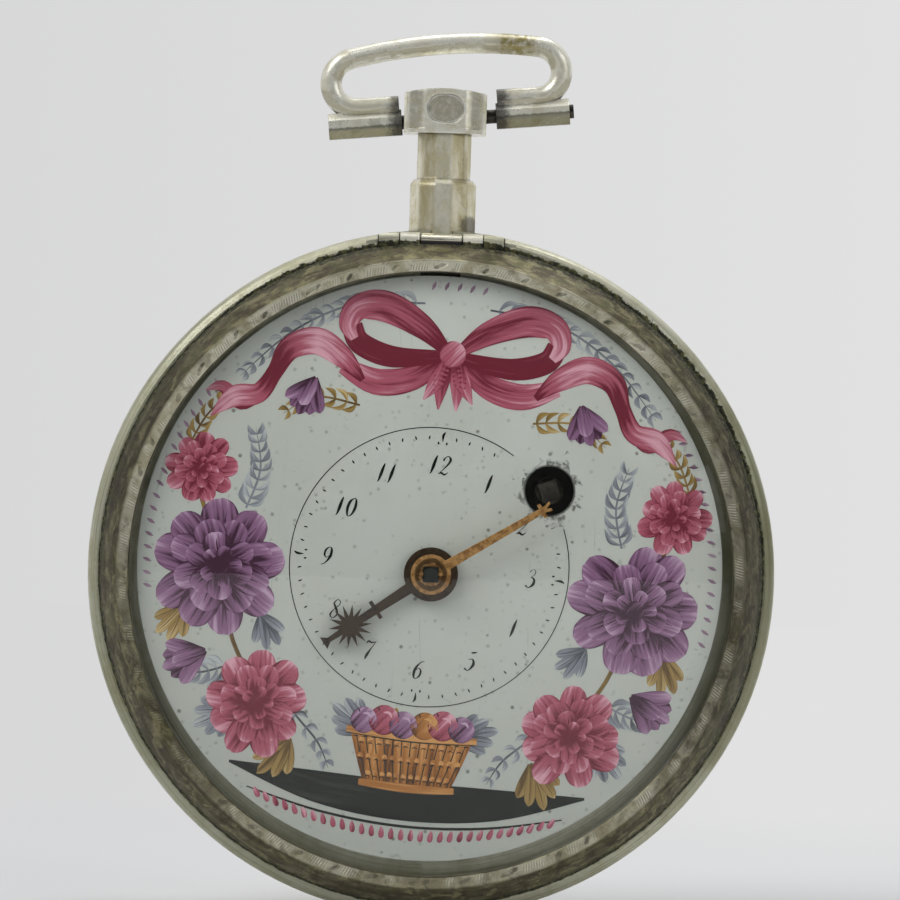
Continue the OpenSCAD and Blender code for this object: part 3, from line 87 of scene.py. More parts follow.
class Graph:
    """Builds the node tree of a material or of the world."""

    def __init__(self, owner):
        self.owner = owner
        owner.use_nodes = True
        self.nodes = owner.node_tree.nodes
        self.links = owner.node_tree.links
        self.nodes.clear()

    def add(self, kind, inputs=(), out=0, **settings):
        """Adds a node, fills its inputs and returns one of its outputs."""
        node = self.nodes.new("ShaderNode" + kind)
        for key, value in settings.items():
            setattr(node, key, value)
        for key, value in dict(inputs).items():
            socket = node.inputs[key]
            if isinstance(value, bpy.types.NodeSocket):
                self.links.new(value, socket)
            elif socket.type == "RGBA":
                socket.default_value = (*value[:3], 1.0)
            else:
                socket.default_value = value
        return node.outputs[out] if len(node.outputs) else node

    def rays(self):
        """What kind of ray looks: whether it is the camera's, reflected or sent through."""
        kinds = self.nodes.new("ShaderNodeLightPath").outputs
        return kinds[0], kinds[3], kinds[6]

    def math(self, operation, a, b=0.0, clamp=False):
        return self.add("Math", {0: a, 1: b}, operation=operation, use_clamp=clamp)

    def times(self, first, *others):
        for other in others:
            first = self.math("MULTIPLY", first, other)
        return first

    def plus(self, a, b):
        return self.math("ADD", a, b)

    def minus(self, a, b):
        return self.math("SUBTRACT", a, b)

    def lift(self, a, b, share):
        """a, with a share of b added."""
        return self.plus(a, self.times(b, share))

    def apart(self, a, b):
        """How far two values are apart."""
        return self.math("ABSOLUTE", self.minus(a, b))

    def away(self, x, z, centre=(0.0, 0.0)):
        """The distance from a point of the front, seen from straight ahead."""
        x, z = self.minus(x, centre[0]), self.minus(z, centre[1])
        return self.math("SQRT", self.plus(self.times(x, x), self.times(z, z)))

    def mix(self, share, a, b, blend="MIX"):
        return self.add("Mix", {0: share, 6: a, 7: b}, out=2, data_type="RGBA", blend_type=blend)

    def span(self, value, low, high, to_low=0.0, to_high=1.0, how="SMOOTHSTEP"):
        return self.add(
            "MapRange", {0: value, 1: low, 2: high, 3: to_low, 4: to_high}, interpolation_type=how
        )

    def ramp(self, value, low, high, to_low=0.0, to_high=1.0):
        return self.span(value, low, high, to_low, to_high, "LINEAR")

    def noise(self, vector, scale, detail=4.0, rough=0.55, warp=0.0):
        return self.add(
            "TexNoise",
            {"Vector": vector, "Scale": scale, "Detail": detail, "Roughness": rough, "Distortion": warp},
        )

    def hair(self, here, turned, stretch, scale, detail=3.0, rough=0.55, warp=0.0):
        """Noise drawn out along turned and stretched axes."""
        lie = self.add("Mapping", {0: here, 2: turned, 3: stretch})
        return self.noise(lie, scale, detail, rough, warp)

    def vector(self, x=0.0, y=0.0, z=0.0):
        return self.add("CombineXYZ", {0: x, 1: y, 2: z})

    def place(self):
        """The point on the object in millimetres, and its three parts."""
        here = self.add(
            "VectorMath", {0: self.add("TexCoord", out=3), 3: 1 / MM}, operation="SCALE"
        )
        parts = self.add("SeparateXYZ", {0: here}).node.outputs
        return here, parts[0], parts[1], parts[2]

    def corner(self, distance, ragged, share=0.3, low=0.3, high=0.85):
        """1 deep in corners and grooves, to a distance in mm and a ragged edge, 0 in the open."""
        free = self.add("AmbientOcclusion", {"Distance": distance * MM}, out=1, samples=6)
        shut = self.math("SUBTRACT", 1.0, free, clamp=True)
        return self.span(self.lift(shut, ragged, share), low, high)

    def finish(self, colour, metallic, rough, height, depth, edge=0.0, gloss=0.5):
        """The surface shader. depth is the height's full step, edge the radius of worn edges, in mm."""
        bump = {"Height": height, "Strength": 1.0, "Distance": depth * MM}
        if edge:
            bump["Normal"] = self.add("Bevel", {"Radius": edge * MM}, samples=4)
        shader = self.add("BsdfPrincipled", {
            "Base Color": colour, "Metallic": metallic, "Roughness": rough,
            "Specular IOR Level": gloss, "Normal": self.add("Bump", bump),
        })
        self.add("OutputMaterial", {0: shader})
        return self.owner


def graph(name):
    return Graph(bpy.data.materials.new(name))


# Metals, enamel and glass
def metal(name, bright, dull, dirt_and_shade, rough=(0.22, 0.42), tarnish=(0.42, 0.66), grime=0.6):
    """Worn metal: tarnish in clouds, dirt and painted shade in corners, fine scratches and small dents."""
    g = graph(name)
    here, *_ = g.place()
    clouds = g.noise(here, 0.32, 6.0, 0.6, 0.4)
    mottle = g.noise(here, 1.9, 5.0, 0.62)
    share = g.span(g.lift(g.times(clouds, 0.6), mottle, 0.4), *tarnish)
    colour = g.mix(share, bright, dull)
    # Dirt and painted shade: darker in corners and grooves, found by ambient occlusion
    corner = g.corner(0.5, mottle)
    colour = g.mix(g.times(corner, grime), colour, dirt_and_shade)
    hair = g.hair(here, (0.4, 0.7, 0.2), (1.0, 14.0, 3.0), 1.6)
    dents = g.noise(here, 0.9, 2.0)
    roughness = g.lift(g.ramp(share, 0.0, 1.0, *rough), corner, 0.15)
    return g.finish(colour, 1.0, roughness, g.lift(dents, hair, 0.35), 0.02)


SILVER = tint(222, 219, 203)
SILVER_DULL = tint(170, 164, 136)
# Dirt and painted shade in corners and grooves
SILVER_DIRT_AND_SHADE = tint(56, 52, 34)
# Places on the front, in mm from the hands' axis: the bezel's engraved band, the crust in the
# groove round the bezel, the case's seat under it, the hinge's knuckles, the middle of the bare
# oval on the head, the barrels' tilted middle line and the winding hole
BAND_IN, BAND_MIDDLE, BAND_OUT = 24.1, 24.5, 25.0
GROOVE_IN, GROOVE_OUT = 26.2, 26.6
SEAT_R = 25.5
HINGE_Z = 26.5
OVAL_Z = 37.28
BARRELS_Z, BARRELS_SLOPE = 36.32, 0.106
WINDING_HOLE = (9.2, 6.9)
# Tarnish and painted shade round the bezel's band and the case's rim, each stop in degrees from twelve and
# its share; the slope's level is its brightness by angle, painted shade with tarnish
BAND_TARNISH_AND_SHADE = (
    (-180, 0.5), (-145, 0.5), (-122, 1.0), (-100, 0.85), (-78, 0.35), (-60, 0.05), (-20, 0.15),
    (5, 0.0), (40, 0.1), (60, 0.6), (100, 0.9), (120, 0.75), (142, 0.4), (180, 0.5),
)
SLOPE_SHADE_AND_TARNISH = (
    (-180, 1.0), (-145, 1.0), (-122, 0.78), (-100, 0.82), (-80, 0.62), (-60, 0.72), (-40, 0.95),
    (5, 0.9), (40, 0.95), (60, 0.62), (100, 0.5), (120, 0.62), (142, 1.0), (180, 1.0),
)
RIM_TARNISH_AND_SHADE = (
    (-180, 0.4), (-140, 0.48), (-120, 0.72), (-80, 0.32), (-55, 0.6), (-20, 0.14), (40, 0.08),
    (60, 0.7), (80, 0.86), (120, 0.68), (142, 0.25), (180, 0.4),
)


def ring_place(g):
    """The place in millimetres, the radius from the hands' axis and the angle from twelve."""
    here, x, y, z = g.place()
    return here, x, y, z, g.away(x, z), g.math("ARCTAN2", x, z)


def around(g, angle, stops):
    """A value that changes evenly from stop to stop round the ring, each in degrees and value."""
    total = stops[0][1]
    for (start, low), (end, high) in zip(stops, stops[1:]):
        total = g.plus(total, g.ramp(angle, math.radians(start), math.radians(end), 0.0, high - low))
    return total


def crust_line(g, here, x, z, radius):
    """The radius with the groove's ragged crust on it, and the side where that is thickest."""
    side = g.span(g.lift(g.times(z, 0.04), x, 0.015), 0.3, 1.0)
    swing = g.minus(g.noise(here, 1.3, 6.0, 0.75), 0.5)
    return g.plus(radius, g.times(swing, g.ramp(side, 0.0, 1.0, 0.35, 1.3))), side


def crusted(g, colour, crust, fine):
    """The colour under a share of the groove's olive crust."""
    return g.mix(crust, colour, g.mix(g.span(fine, 0.45, 0.62), tint(32, 33, 19), tint(88, 86, 52)))


def engraved_silver():
    """The bezel: grimy olive silver on its slope, with painted shade and tarnish by angle round the ring, and
    a band of fine hatching by the glass.
    """
    g = graph("engraved_silver")
    here, x, y, z, radius, angle = ring_place(g)
    along = g.times(angle, 25.0)

    def streaks(length, breadth, detail, warp=0.0):
        return g.noise(g.vector(g.times(along, length), g.times(radius, breadth), y), 1.0, detail, 0.68, warp)

    wipes = streaks(0.22, 2.4, 5.0)
    smears = streaks(0.55, 1.1, 6.0, 0.8)
    blots = g.noise(here, 0.3, 6.0, 0.62, 1.0)
    patches = g.noise(here, 0.85, 5.0, 0.66, 0.6)
    fine = g.noise(here, 3.2, 5.0, 0.7)
    band = g.times(
        g.span(radius, BAND_IN - 0.05, BAND_IN + 0.06), g.span(radius, BAND_OUT + 0.15, BAND_OUT - 0.15)
    )
    # Hatching: groups of short bright cuts, some worn away, with a leaf-shaped cut between them
    groups, cut_pitch = 44, 700.0
    cell = g.times(angle, groups / (2 * math.pi))
    within = g.math("FRACT", g.lift(cell, g.noise(g.vector(cell), 0.6), 1.6))
    across = g.minus(radius, BAND_MIDDLE)
    leaning = g.lift(g.lift(angle, across, -0.012), patches, 0.006)
    cuts = g.math("SINE", g.times(leaning, cut_pitch))
    group = g.times(g.span(within, 0.03, 0.1), g.span(within, 0.6, 0.46))
    worn_off = g.span(g.lift(blots, patches, 0.6), 0.9, 0.62)
    arch = g.span(g.lift(g.math("ABSOLUTE", across), patches, 0.3), 0.56, 0.34)
    # Tarnish and painted shade by angle round the ring: the band dulls towards the slope's colour and its
    # hatching fades
    tarnish_and_shade = around(g, angle, BAND_TARNISH_AND_SHADE)
    clear_of_tarnish_and_shade = g.minus(1.0, g.times(tarnish_and_shade, 0.75))
    hatched = g.times(group, arch, band, worn_off, clear_of_tarnish_and_shade)
    strokes = g.times(hatched, g.span(cuts, -0.1, 0.5))
    leaf_x = g.times(g.minus(within, 0.78), 3.2)
    bent = g.minus(across, g.times(leaf_x, 0.4))
    leaf_d = g.plus(g.math("POWER", g.times(leaf_x, 2.0), 2.0), g.math("POWER", g.times(bent, 4.6), 2.0))
    leaf_d = g.lift(leaf_d, g.minus(fine, 0.5), 1.2)
    leaf = g.times(g.span(leaf_d, 1.1, 0.4), band, clear_of_tarnish_and_shade)
    grime = g.span(g.lift(g.times(wipes, 0.5), blots, 0.5), 0.38, 0.6)
    slope = g.mix(grime, tint(116, 110, 90), tint(74, 68, 51))
    slope = g.mix(g.span(smears, 0.5, 0.62, 0.0, 0.8), slope, tint(68, 57, 45))
    slope = g.mix(g.span(smears, 0.5, 0.37, 0.0, 0.75), slope, tint(150, 144, 114))
    slope = g.mix(g.span(patches, 0.52, 0.38, 0.0, 0.6), slope, tint(84, 86, 54))
    slope = g.mix(g.span(patches, 0.53, 0.62, 0.0, 0.6), slope, tint(58, 50, 36))
    # Painted shade and tarnish: the slope darker at some angles round the ring
    level = around(g, angle, SLOPE_SHADE_AND_TARNISH)
    olive = g.vector(level, g.times(level, 0.99), g.times(level, 0.85))
    slope = g.mix(1.0, slope, olive, blend="MULTIPLY")
    bright = g.mix(g.span(blots, 0.38, 0.62), tint(226, 222, 200), tint(176, 170, 142))
    bright = g.mix(g.span(patches, 0.48, 0.66, 0.0, 0.6), bright, tint(116, 112, 84))
    colour = g.mix(band, slope, g.mix(tarnish_and_shade, bright, slope))
    colour = g.mix(g.times(leaf, g.span(patches, 0.4, 0.6, 0.35, 0.9)), colour, tint(66, 68, 52))
    colour = g.mix(g.times(hatched, 0.5), colour, tint(104, 100, 78))
    colour = g.mix(g.times(strokes, 0.95), colour, tint(236, 233, 214))
    edge = g.span(g.apart(radius, BAND_IN), 0.06, 0.02)
    colour = g.mix(g.times(edge, 0.3), colour, tint(70, 66, 48))
    specks = g.times(g.span(fine, 0.58, 0.7, 0.0, 0.5), g.minus(1.0, g.times(band, 0.6)))
    colour = g.mix(specks, colour, tint(54, 50, 34))
    # Crust in the groove against the case, and over the knuckles
    ragged, side = crust_line(g, here, x, z, radius)
    start = g.ramp(side, 0.0, 1.0, GROOVE_IN + 0.06, GROOVE_IN - 0.06)
    knuckle = g.times(
        g.span(ragged, GROOVE_OUT, GROOVE_OUT + 0.12), g.span(z, HINGE_Z - 0.04, HINGE_Z + 0.04)
    )
    groove = g.times(g.span(g.minus(ragged, start), 0.0, 0.12), g.minus(1.0, knuckle))
    colour = g.mix(knuckle, crusted(g, colour, groove, fine), SILVER)
    rough = g.lift(g.ramp(grime, 0.0, 1.0, 0.3, 0.5), groove, 0.3)
    cut_height = g.minus(g.times(strokes, 0.5), leaf)
    wear = g.lift(g.times(fine, 0.4), wipes, 0.5)
    height = g.lift(g.plus(cut_height, wear), groove, 0.6)
    metallic = g.times(g.minus(1.0, g.times(groove, 0.9)), 0.55)
    return g.finish(colour, metallic, rough, height, 0.06)


def case_silver():
    """The case: bright rim with tarnish and painted shade by angle round it, grimy towards the groove where
    the bezel sits.
    """
    g = graph("case_silver")
    here, x, y, z, radius, angle = ring_place(g)
    clouds = g.noise(here, 0.22, 6.0, 0.6, 0.5)
    fine = g.noise(here, 1.6, 6.0, 0.68)
    share = g.span(g.lift(g.times(clouds, 0.65), fine, 0.35), 0.4, 0.66)
    colour = g.mix(share, tint(219, 218, 199), tint(194, 191, 163))
    ragged, side = crust_line(g, here, x, z, radius)
    front = g.span(y, -11.2, -12.2)
    reach = g.ramp(side, 0.0, 1.0, GROOVE_OUT - 0.06, GROOVE_OUT + 0.14)
    groove = g.times(
        g.span(g.minus(ragged, reach), 0.12, 0.0), front, g.span(radius, SEAT_R - 0.1, SEAT_R + 0.1)
    )
    # Dirt and painted shade in corners, stronger from about 25 mm out
    corner = g.times(g.corner(0.6, fine, 0.3, 0.4, 0.95), g.span(radius, 24.9, 25.3, 0.2, 0.7))
    colour = g.mix(corner, colour, SILVER_DIRT_AND_SHADE)
    turned = g.noise(g.vector(g.times(angle, 2.0), g.times(radius, 9.0), y), 1.0, 3.0)
    rings = g.times(g.span(turned, 0.54, 0.62), front, 0.35)
    colour = g.mix(rings, colour, tint(110, 106, 84))
    # Tarnish and painted shade on the rim's front, by angle round the ring
    colour = g.mix(g.times(around(g, angle, RIM_TARNISH_AND_SHADE), front), colour, tint(113, 113, 83))
    colour = crusted(g, colour, groove, fine)
    hair = g.hair(here, (0.3, 0.5, 1.1), (1.0, 9.0, 2.0), 1.2)
    rough = g.lift(g.ramp(share, 0.0, 1.0, 0.38, 0.54), groove, 0.4)
    metallic = g.times(g.minus(1.0, g.times(groove, 0.9)), 0.75)
    return g.finish(colour, metallic, rough, g.lift(clouds, hair, 0.3), 0.02)


def pendant_silver():
    """Collar and neck: tarnish that runs down the facets, specks and a stain at the foot."""
    g = graph("pendant_silver")
    here, x, y, z = g.place()
    fine = g.noise(here, 2.6, 6.0, 0.7)
    clouds = g.hair(here, (0.0, 0.0, 0.0), (1.0, 1.0, 0.35), 0.9, 5.0, 0.62, 0.4)
    colour = g.mix(g.span(clouds, 0.4, 0.62), tint(236, 232, 212), tint(204, 196, 160))
    # Olive on the facets beside the middle one, bluish specks on the middle one
    beside = g.span(g.apart(g.math("ABSOLUTE", x), 1.25), 0.75, 0.45)
    colour = g.mix(g.times(beside, g.span(clouds, 0.3, 0.6, 0.35, 0.8)), colour, tint(168, 157, 120))
    middle = g.span(g.math("ABSOLUTE", x), 0.8, 0.5)
    colour = g.mix(g.times(middle, g.span(fine, 0.46, 0.6, 0.0, 0.6)), colour, tint(208, 208, 188))
    stain = g.span(g.lift(g.away(x, z, (2.2, 27.9)), fine, 1.2), 1.1, 1.6, 0.75, 0.0)
    colour = g.mix(stain, colour, tint(64, 58, 48))
    # Dirt and painted shade in corners
    colour = g.mix(g.times(g.corner(0.5, fine), 0.8), colour, SILVER_DIRT_AND_SHADE)
    colour = g.mix(g.span(fine, 0.62, 0.72, 0.0, 0.5), colour, tint(86, 82, 62))
    rough = g.span(clouds, 0.3, 0.7, 0.2, 0.34)
    return g.finish(colour, 0.5, rough, g.lift(clouds, fine, 0.4), 0.03, 0.35)


def bow_silver():
    """The bow's wire and barrels: polished above, an olive streak of painted shade below."""
    g = graph("bow_silver")
    here, x, y, z = g.place()
    facing = g.add("SeparateXYZ", {0: g.add("TexCoord", out=1)}).node.outputs
    fine = g.noise(here, 2.2, 5.0, 0.66)
    clouds = g.noise(here, 0.45, 5.0, 0.6, 0.5)
    colour = g.mix(g.span(clouds, 0.42, 0.62), tint(236, 234, 220), tint(210, 206, 186))
    # Painted shade: an olive streak where the wire faces down
    low = g.lift(facing[2], g.minus(clouds, 0.5), 0.9)
    underside_shade = g.times(g.span(low, -0.02, -0.2), g.span(low, -0.72, -0.5))
    colour = g.mix(g.times(underside_shade, 0.6), colour, tint(134, 126, 92))
    # The barrels: olive painted shade below, with a dark line along the middle facet
    height = g.minus(g.lift(z, x, -BARRELS_SLOPE), BARRELS_Z)
    ragged = g.lift(height, g.minus(fine, 0.5), 0.35)
    barrel = g.span(height, 1.15, 1.0)
    below = g.times(barrel, g.span(ragged, 0.05, -0.15, 0.0, 0.75))
    colour = g.mix(below, colour, tint(132, 126, 96))
    line = g.span(g.math("ABSOLUTE", ragged), 0.02, 0.16, 0.7, 0.0)
    colour = g.mix(g.times(line, barrel), colour, tint(76, 78, 58))
    # Yellow at the loop's upper right
    yellow = g.times(
        g.span(x, 3.4, 4.6), g.span(x, 8.0, 6.2), g.span(z, 40.0, 41.0), g.span(fine, 0.4, 0.6, 0.3, 0.9)
    )
    colour = g.mix(yellow, colour, tint(138, 124, 62))
    # Dirt and painted shade in corners
    corner = g.corner(0.6, fine, 0.35, 0.35)
    colour = g.mix(g.times(corner, 0.8), colour, SILVER_DIRT_AND_SHADE)
    # Painted shade: dark by the head
    near_head = g.span(g.lift(g.apart(x, 0.3), fine, 1.6), 4.9, 6.0, 0.85, 0.0)
    colour = g.mix(g.times(near_head, g.span(z, 39.6, 39.0)), colour, tint(60, 58, 56))
    rough = g.span(clouds, 0.3, 0.7, 0.24, 0.38)
    return g.finish(colour, 0.5, rough, g.lift(clouds, fine, 0.25), 0.03, 0.15)


def head_silver():
    """The pendant's head: polished, with grey left in the scoops and the oval, and dirt and painted shade in
    the corners.
    """
    g = graph("head_silver")
    here, x, y, z = g.place()
    fine = g.noise(here, 2.4, 5.0, 0.66)
    clouds = g.noise(here, 0.7, 5.0, 0.6, 0.5)
    colour = g.mix(g.span(clouds, 0.4, 0.62), tint(250, 248, 234), tint(224, 219, 194))
    scoop = g.times(
        g.span(g.apart(g.math("ABSOLUTE", x), 2.35), 0.8, 0.35), g.span(z, 35.5, 36.1, 0.0, 0.55),
        g.span(fine, 0.3, 0.6, 0.5, 1.0),
    )
    colour = g.mix(scoop, colour, tint(150, 144, 118))
    away = g.away(g.times(x, 0.74), z, (0.0, OVAL_Z))
    oval = g.times(g.span(away, 1.1, 1.0), g.span(fine, 0.3, 0.6, 0.35, 0.7))
    colour = g.mix(oval, colour, tint(160, 156, 136))
    lip = g.span(g.apart(away, 1.14), 0.12, 0.04)
    colour = g.mix(g.times(lip, 0.8), colour, tint(238, 237, 226))
    # Dirt and painted shade in corners
    colour = g.mix(g.times(g.corner(0.5, fine), 0.8), colour, SILVER_DIRT_AND_SHADE)
    rough = g.span(clouds, 0.3, 0.7, 0.16, 0.3)
    return g.finish(colour, 0.5, rough, g.lift(clouds, fine, 0.3), 0.03, 0.22)


def stained_gilt(name, places):
    """Gilt brass with a dark place, of stain and painted shade, and a bright one, which a function of the
    graph gives as shares.
    """
    g = graph(name)
    here, x, y, z = g.place()
    fine = g.noise(here, 1.4, 5.0, 0.65)
    share = g.span(g.noise(here, 0.3, 5.0, 0.6, 0.4), 0.4, 0.66)
    colour = g.mix(share, tint(226, 184, 104), tint(190, 146, 78))
    dark, bright = places(g, x, z, fine)
    colour = g.mix(bright, g.mix(dark, colour, tint(26, 24, 20)), SILVER)
    rough = g.lift(g.ramp(share, 0.0, 1.0, 0.24, 0.4), dark, 0.4)
    return g.finish(colour, g.minus(1.0, dark), rough, fine, 0.015)


def by_winding_hole(g, x, z, fine):
    """The pillar plate: oil and shadow round the winding hole."""
    return g.span(g.plus(g.away(x, z, WINDING_HOLE), fine), 4.2, 3.2), 0.0


def on_hinge(g, x, z, fine):
    """The movement's hinge: painted shade on the strip, with its knuckle worn as bright as the case."""
    strip = g.times(g.span(z, 22.4, 22.9), g.span(z, HINGE_Z + 0.2, HINGE_Z + 0.1))
    return strip, g.span(z, HINGE_Z + 0.05, HINGE_Z + 0.2)


def hand_brass():
    """The minute hand: worn brass, dark in a ring round the square that it sits on, with dirt and painted
    shade in corners.
    """
    g = graph("worn_brass")
    here, x, y, z, radius, angle = ring_place(g)
    fine = g.noise(here, 1.9, 5.0, 0.62)
    colour = g.mix(g.span(fine, 0.4, 0.62), tint(204, 158, 100), tint(150, 110, 68))
    loose = g.lift(radius, g.minus(fine, 0.5), 0.4)
    ring = g.times(g.span(loose, 0.85, 0.98), g.span(loose, 1.36, 1.2))
    colour = g.mix(g.times(ring, 0.85), colour, tint(64, 46, 28))
    # Dirt and painted shade in corners
    colour = g.mix(g.times(g.corner(0.4, fine), 0.6), colour, tint(46, 32, 22))
    hair = g.hair(here, (0.0, 1.1, 0.0), (8.0, 1.0, 1.0), 1.6)
    return g.finish(colour, 0.85, g.span(fine, 0.35, 0.65, 0.28, 0.45), g.lift(fine, hair, 0.5), 0.02, 0.06)


def enamel():
    """Fired enamel: grey-white, specked and scratched, chipped round the winding hole."""
    g = graph("enamel")
    here, x, y, z = g.place()
    clouds = g.noise(here, 0.13, 4.0)
    # Painted light and shade: the enamel lighter towards the top and right, darker towards the bottom and
    # left
    lit_rise = g.lift(g.times(z, 0.8), x, 0.3)
    colour = g.mix(g.ramp(lit_rise, -20.0, 20.0), tint(176, 180, 173), tint(205, 209, 203))
    colour = g.mix(g.span(clouds, 0.35, 0.65, 0.0, 0.4), colour, tint(183, 186, 176))

    def spots(scale, size, fade, where, low, high):
        """Round spots of one size, only in the places that a noise picks."""
        cells = g.add("TexVoronoi", {"Vector": here, "Scale": scale, "Randomness": 1.0})
        return g.times(g.span(cells, fade, size), g.span(where, low, high))

    dots = spots(0.62, 0.06, 0.13, g.noise(here, 0.5, 2.0), 0.42, 0.54)
    colour = g.mix(g.times(dots, 0.7), colour, tint(86, 84, 74))
    faint = spots(1.35, 0.08, 0.3, g.noise(here, 0.7, 3.0), 0.44, 0.58)
    colour = g.mix(g.times(faint, 0.45), colour, tint(124, 126, 114))
    # Scuffs where the glaze has worn
    scuff = g.hair(here, (0.0, 0.9, 0.0), (1.0, 1.0, 2.6), 1.1, 5.0, 0.75, 0.6)
    scuff = g.times(g.span(scuff, 0.62, 0.68), g.span(g.noise(here, 0.16, 2.0), 0.5, 0.6))
    colour = g.mix(g.times(scuff, 0.5), colour, tint(128, 124, 110))
    crack = g.apart(g.hair(here, (0.0, 0.5, 0.0), (0.5, 1.0, 0.04), 0.35, 2.0, 0.4, 0.3), 0.52)
    lines = g.times(g.span(crack, 0.0022, 0.0), g.span(g.noise(here, 0.21, 2.0), 0.5, 0.6))
    colour = g.mix(g.times(lines, 0.4), colour, tint(130, 130, 122))
    # Chips and cracks round the winding hole
    away = g.away(x, z, WINDING_HOLE)
    chip_noise = g.noise(here, 0.85, 5.0, 0.7, 0.5)
    chip = g.span(g.plus(g.times(g.ramp(away, 4.4, 1.9), 0.42), chip_noise), 0.83, 0.86)
    ring = g.times(g.span(away, 2.3, 2.05), g.span(chip_noise, 0.4, 0.5))
    chip = g.math("MAXIMUM", chip, ring)
    dark = g.mix(g.span(g.noise(here, 2.6, 4.0, 0.7), 0.4, 0.6), tint(176, 178, 172), tint(74, 76, 70))
    colour = g.mix(g.times(chip, 0.85), colour, dark)
    colour = g.mix(g.times(g.span(away, 2.12, 2.02), 0.8), colour, tint(46, 48, 44))
    height = g.minus(g.times(clouds, 0.3), g.lift(chip, dots, 0.5))
    return g.finish(colour, 0.0, g.plus(0.12, g.times(chip, 0.5)), height, 0.03)


def paint(name, dark, mid, light):
    """Painted enamel colour: the streaks of a brush along each stroke, and broad folds under them."""
    g = graph("paint_" + name)
    brush = g.add("Attribute", attribute_name="brush", out=1)
    tone = g.add("Attribute", attribute_name="tone", out=2)
    edge = g.add("Attribute", attribute_name="edge", out=2)
    along, across, seed = g.add("SeparateXYZ", {0: brush}).node.outputs

    def lines(length, breadth, detail):
        lie = g.vector(g.times(along, length), g.times(across, breadth), g.times(seed, 31.0))
        return g.minus(g.noise(lie, 1.0, detail, 0.6), 0.5)

    level = g.plus(g.times(tone, 0.5), 0.5)
    level = g.lift(level, lines(0.22, 3.6, 4.0), 1.5)
    level = g.lift(level, lines(0.1, 0.95, 2.0), 1.5)
    level = g.minus(level, g.span(edge, 0.8, 1.0, 0.0, 0.3))
    colour = g.mix(g.span(level, 0.0, 0.5), dark, mid)
    colour = g.mix(g.span(level, 0.5, 1.05), colour, light)
    return g.finish(colour, 0.0, 0.2, level, 0.003, gloss=0.08)


def glass():
    """Clear glass. Shadow rays pass, so that the dial under it is lit."""
    g = graph("glass_clear")
    here, *_ = g.place()
    smears = g.span(g.noise(here, 0.3, 4.0, 0.6), 0.5, 0.8, 0.0, 0.05)
    clear = tint(251, 252, 251)
    solid = g.add(
        "BsdfPrincipled", {"Base Color": clear, "Roughness": smears, "IOR": 1.33, "Transmission Weight": 1.0}
    )
    shadow = g.add("LightPath", out=1)
    g.add("OutputMaterial", {
        0: g.add("MixShader", {0: shadow, 1: solid, 2: g.add("BsdfTransparent", {0: clear})})
    })
    return g.owner


FINISHES = {
    "silver": metal("silver", SILVER, SILVER_DULL, SILVER_DIRT_AND_SHADE, (0.2, 0.38), (0.44, 0.64), 0.75),
    "case": case_silver(),
    "pendant": pendant_silver(),
    "head": head_silver(),
    "bow": bow_silver(),
    "plate": stained_gilt("plate_gilt", by_winding_hole),
    "hinge": stained_gilt("hinge_gilt", on_hinge),
    "engraved": engraved_silver(),
    "gilt_brass": metal("gilt_brass", tint(236, 196, 112), tint(205, 160, 84), tint(84, 58, 28)),
    "brass": metal("brass", tint(188, 146, 84), tint(132, 96, 52), tint(52, 38, 24), (0.3, 0.5)),
    "worn_brass": hand_brass(),
    "dark_brass": metal("dark_brass", tint(82, 68, 54), tint(48, 40, 34), tint(24, 20, 18), (0.35, 0.55)),
    "steel": metal("steel", tint(196, 196, 194), tint(150, 148, 144), tint(60, 56, 50)),
    "dark_steel": metal("dark_steel", tint(86, 84, 78), tint(54, 52, 48), tint(26, 24, 22), (0.3, 0.5)),
    "black_steel": metal("black_steel", tint(50, 53, 51), tint(34, 36, 34), tint(14, 14, 12), (0.3, 0.5)),
    "blued_steel": metal("blued_steel", tint(56, 74, 132), tint(38, 50, 96), tint(20, 22, 36), (0.18, 0.32)),
    "enamel": enamel(),
    "glass": glass(),
}
BY_NODE = {
    "case": ["case_body"],
    "silver": ["regulator_disc"],
    "head": ["pendant_head"],
    "pendant": ["pendant"],
    "bow": ["bow"],
    "plate": ["pillar_plate"],
    "hinge": ["movement_hinge"],
    "worn_brass": ["minute_hand", "hand_pin"],
    "black_steel": ["cannon_pinion"],
    "engraved": ["bezel"],
    "glass": ["glass"],
    "enamel": ["dial"],
    "brass": ["barrel_drum", "great_wheel", "fusee_cone"],
    "dark_brass": ["hour_hand", "hour_wheel"],
    "dark_steel": ["hinge_pin", "bow_pin", "fusee_arbor"],
    "blued_steel": [
        "hinge_screws", "click_screw", "bridge_screws", "regulator_hand", "balance_spring", "catch_spring",
        "stop_arm",
    ],
    "steel": [
        "barrel_arbor", "centre_arbor", "verge_staff", "movement_catch", "setup_click", "setup_ratchet",
        "fusee_chain", "mainspring", "bridge_cap", "minute_wheel_stud", "potence", "counter_potence",
        "spring_stud",
    ],
}
finish_of = {node: finish for finish, nodes in BY_NODE.items() for node in nodes}
for node, obj in NODES.items():
    material = FINISHES[finish_of.get(node, "gilt_brass")]
    for part in obj.material_slots:
        part.material = material

# The painted dial
DIAL_R, DIAL_RISE = 23.25, 0.4
DIAL_TURN = math.radians(4.4)
LIFT, LEVEL_STEP, SUNK = 0.016, 0.0014, 0.012
MIN_WIDTH = 0.03
low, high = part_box("dial")
DIAL_X = (low.x + high.x) / 2 / MM
DIAL_Z = (low.z + high.z) / 2 / MM
DIAL_FRONT = -low.y / MM
rng = random.Random(11)


def on_dial(x, y, lift):
    """A point of the painting, in the dial's own turned frame, on its dome."""
    c, s = math.cos(DIAL_TURN), math.sin(DIAL_TURN)
    depth = DIAL_FRONT - DIAL_RISE * (x * x + y * y) / DIAL_R ** 2
    return (
        (DIAL_X + x * c + y * s) * MM,
        -(depth + lift) * MM,
        (DIAL_Z + y * c - x * s) * MM,
    )


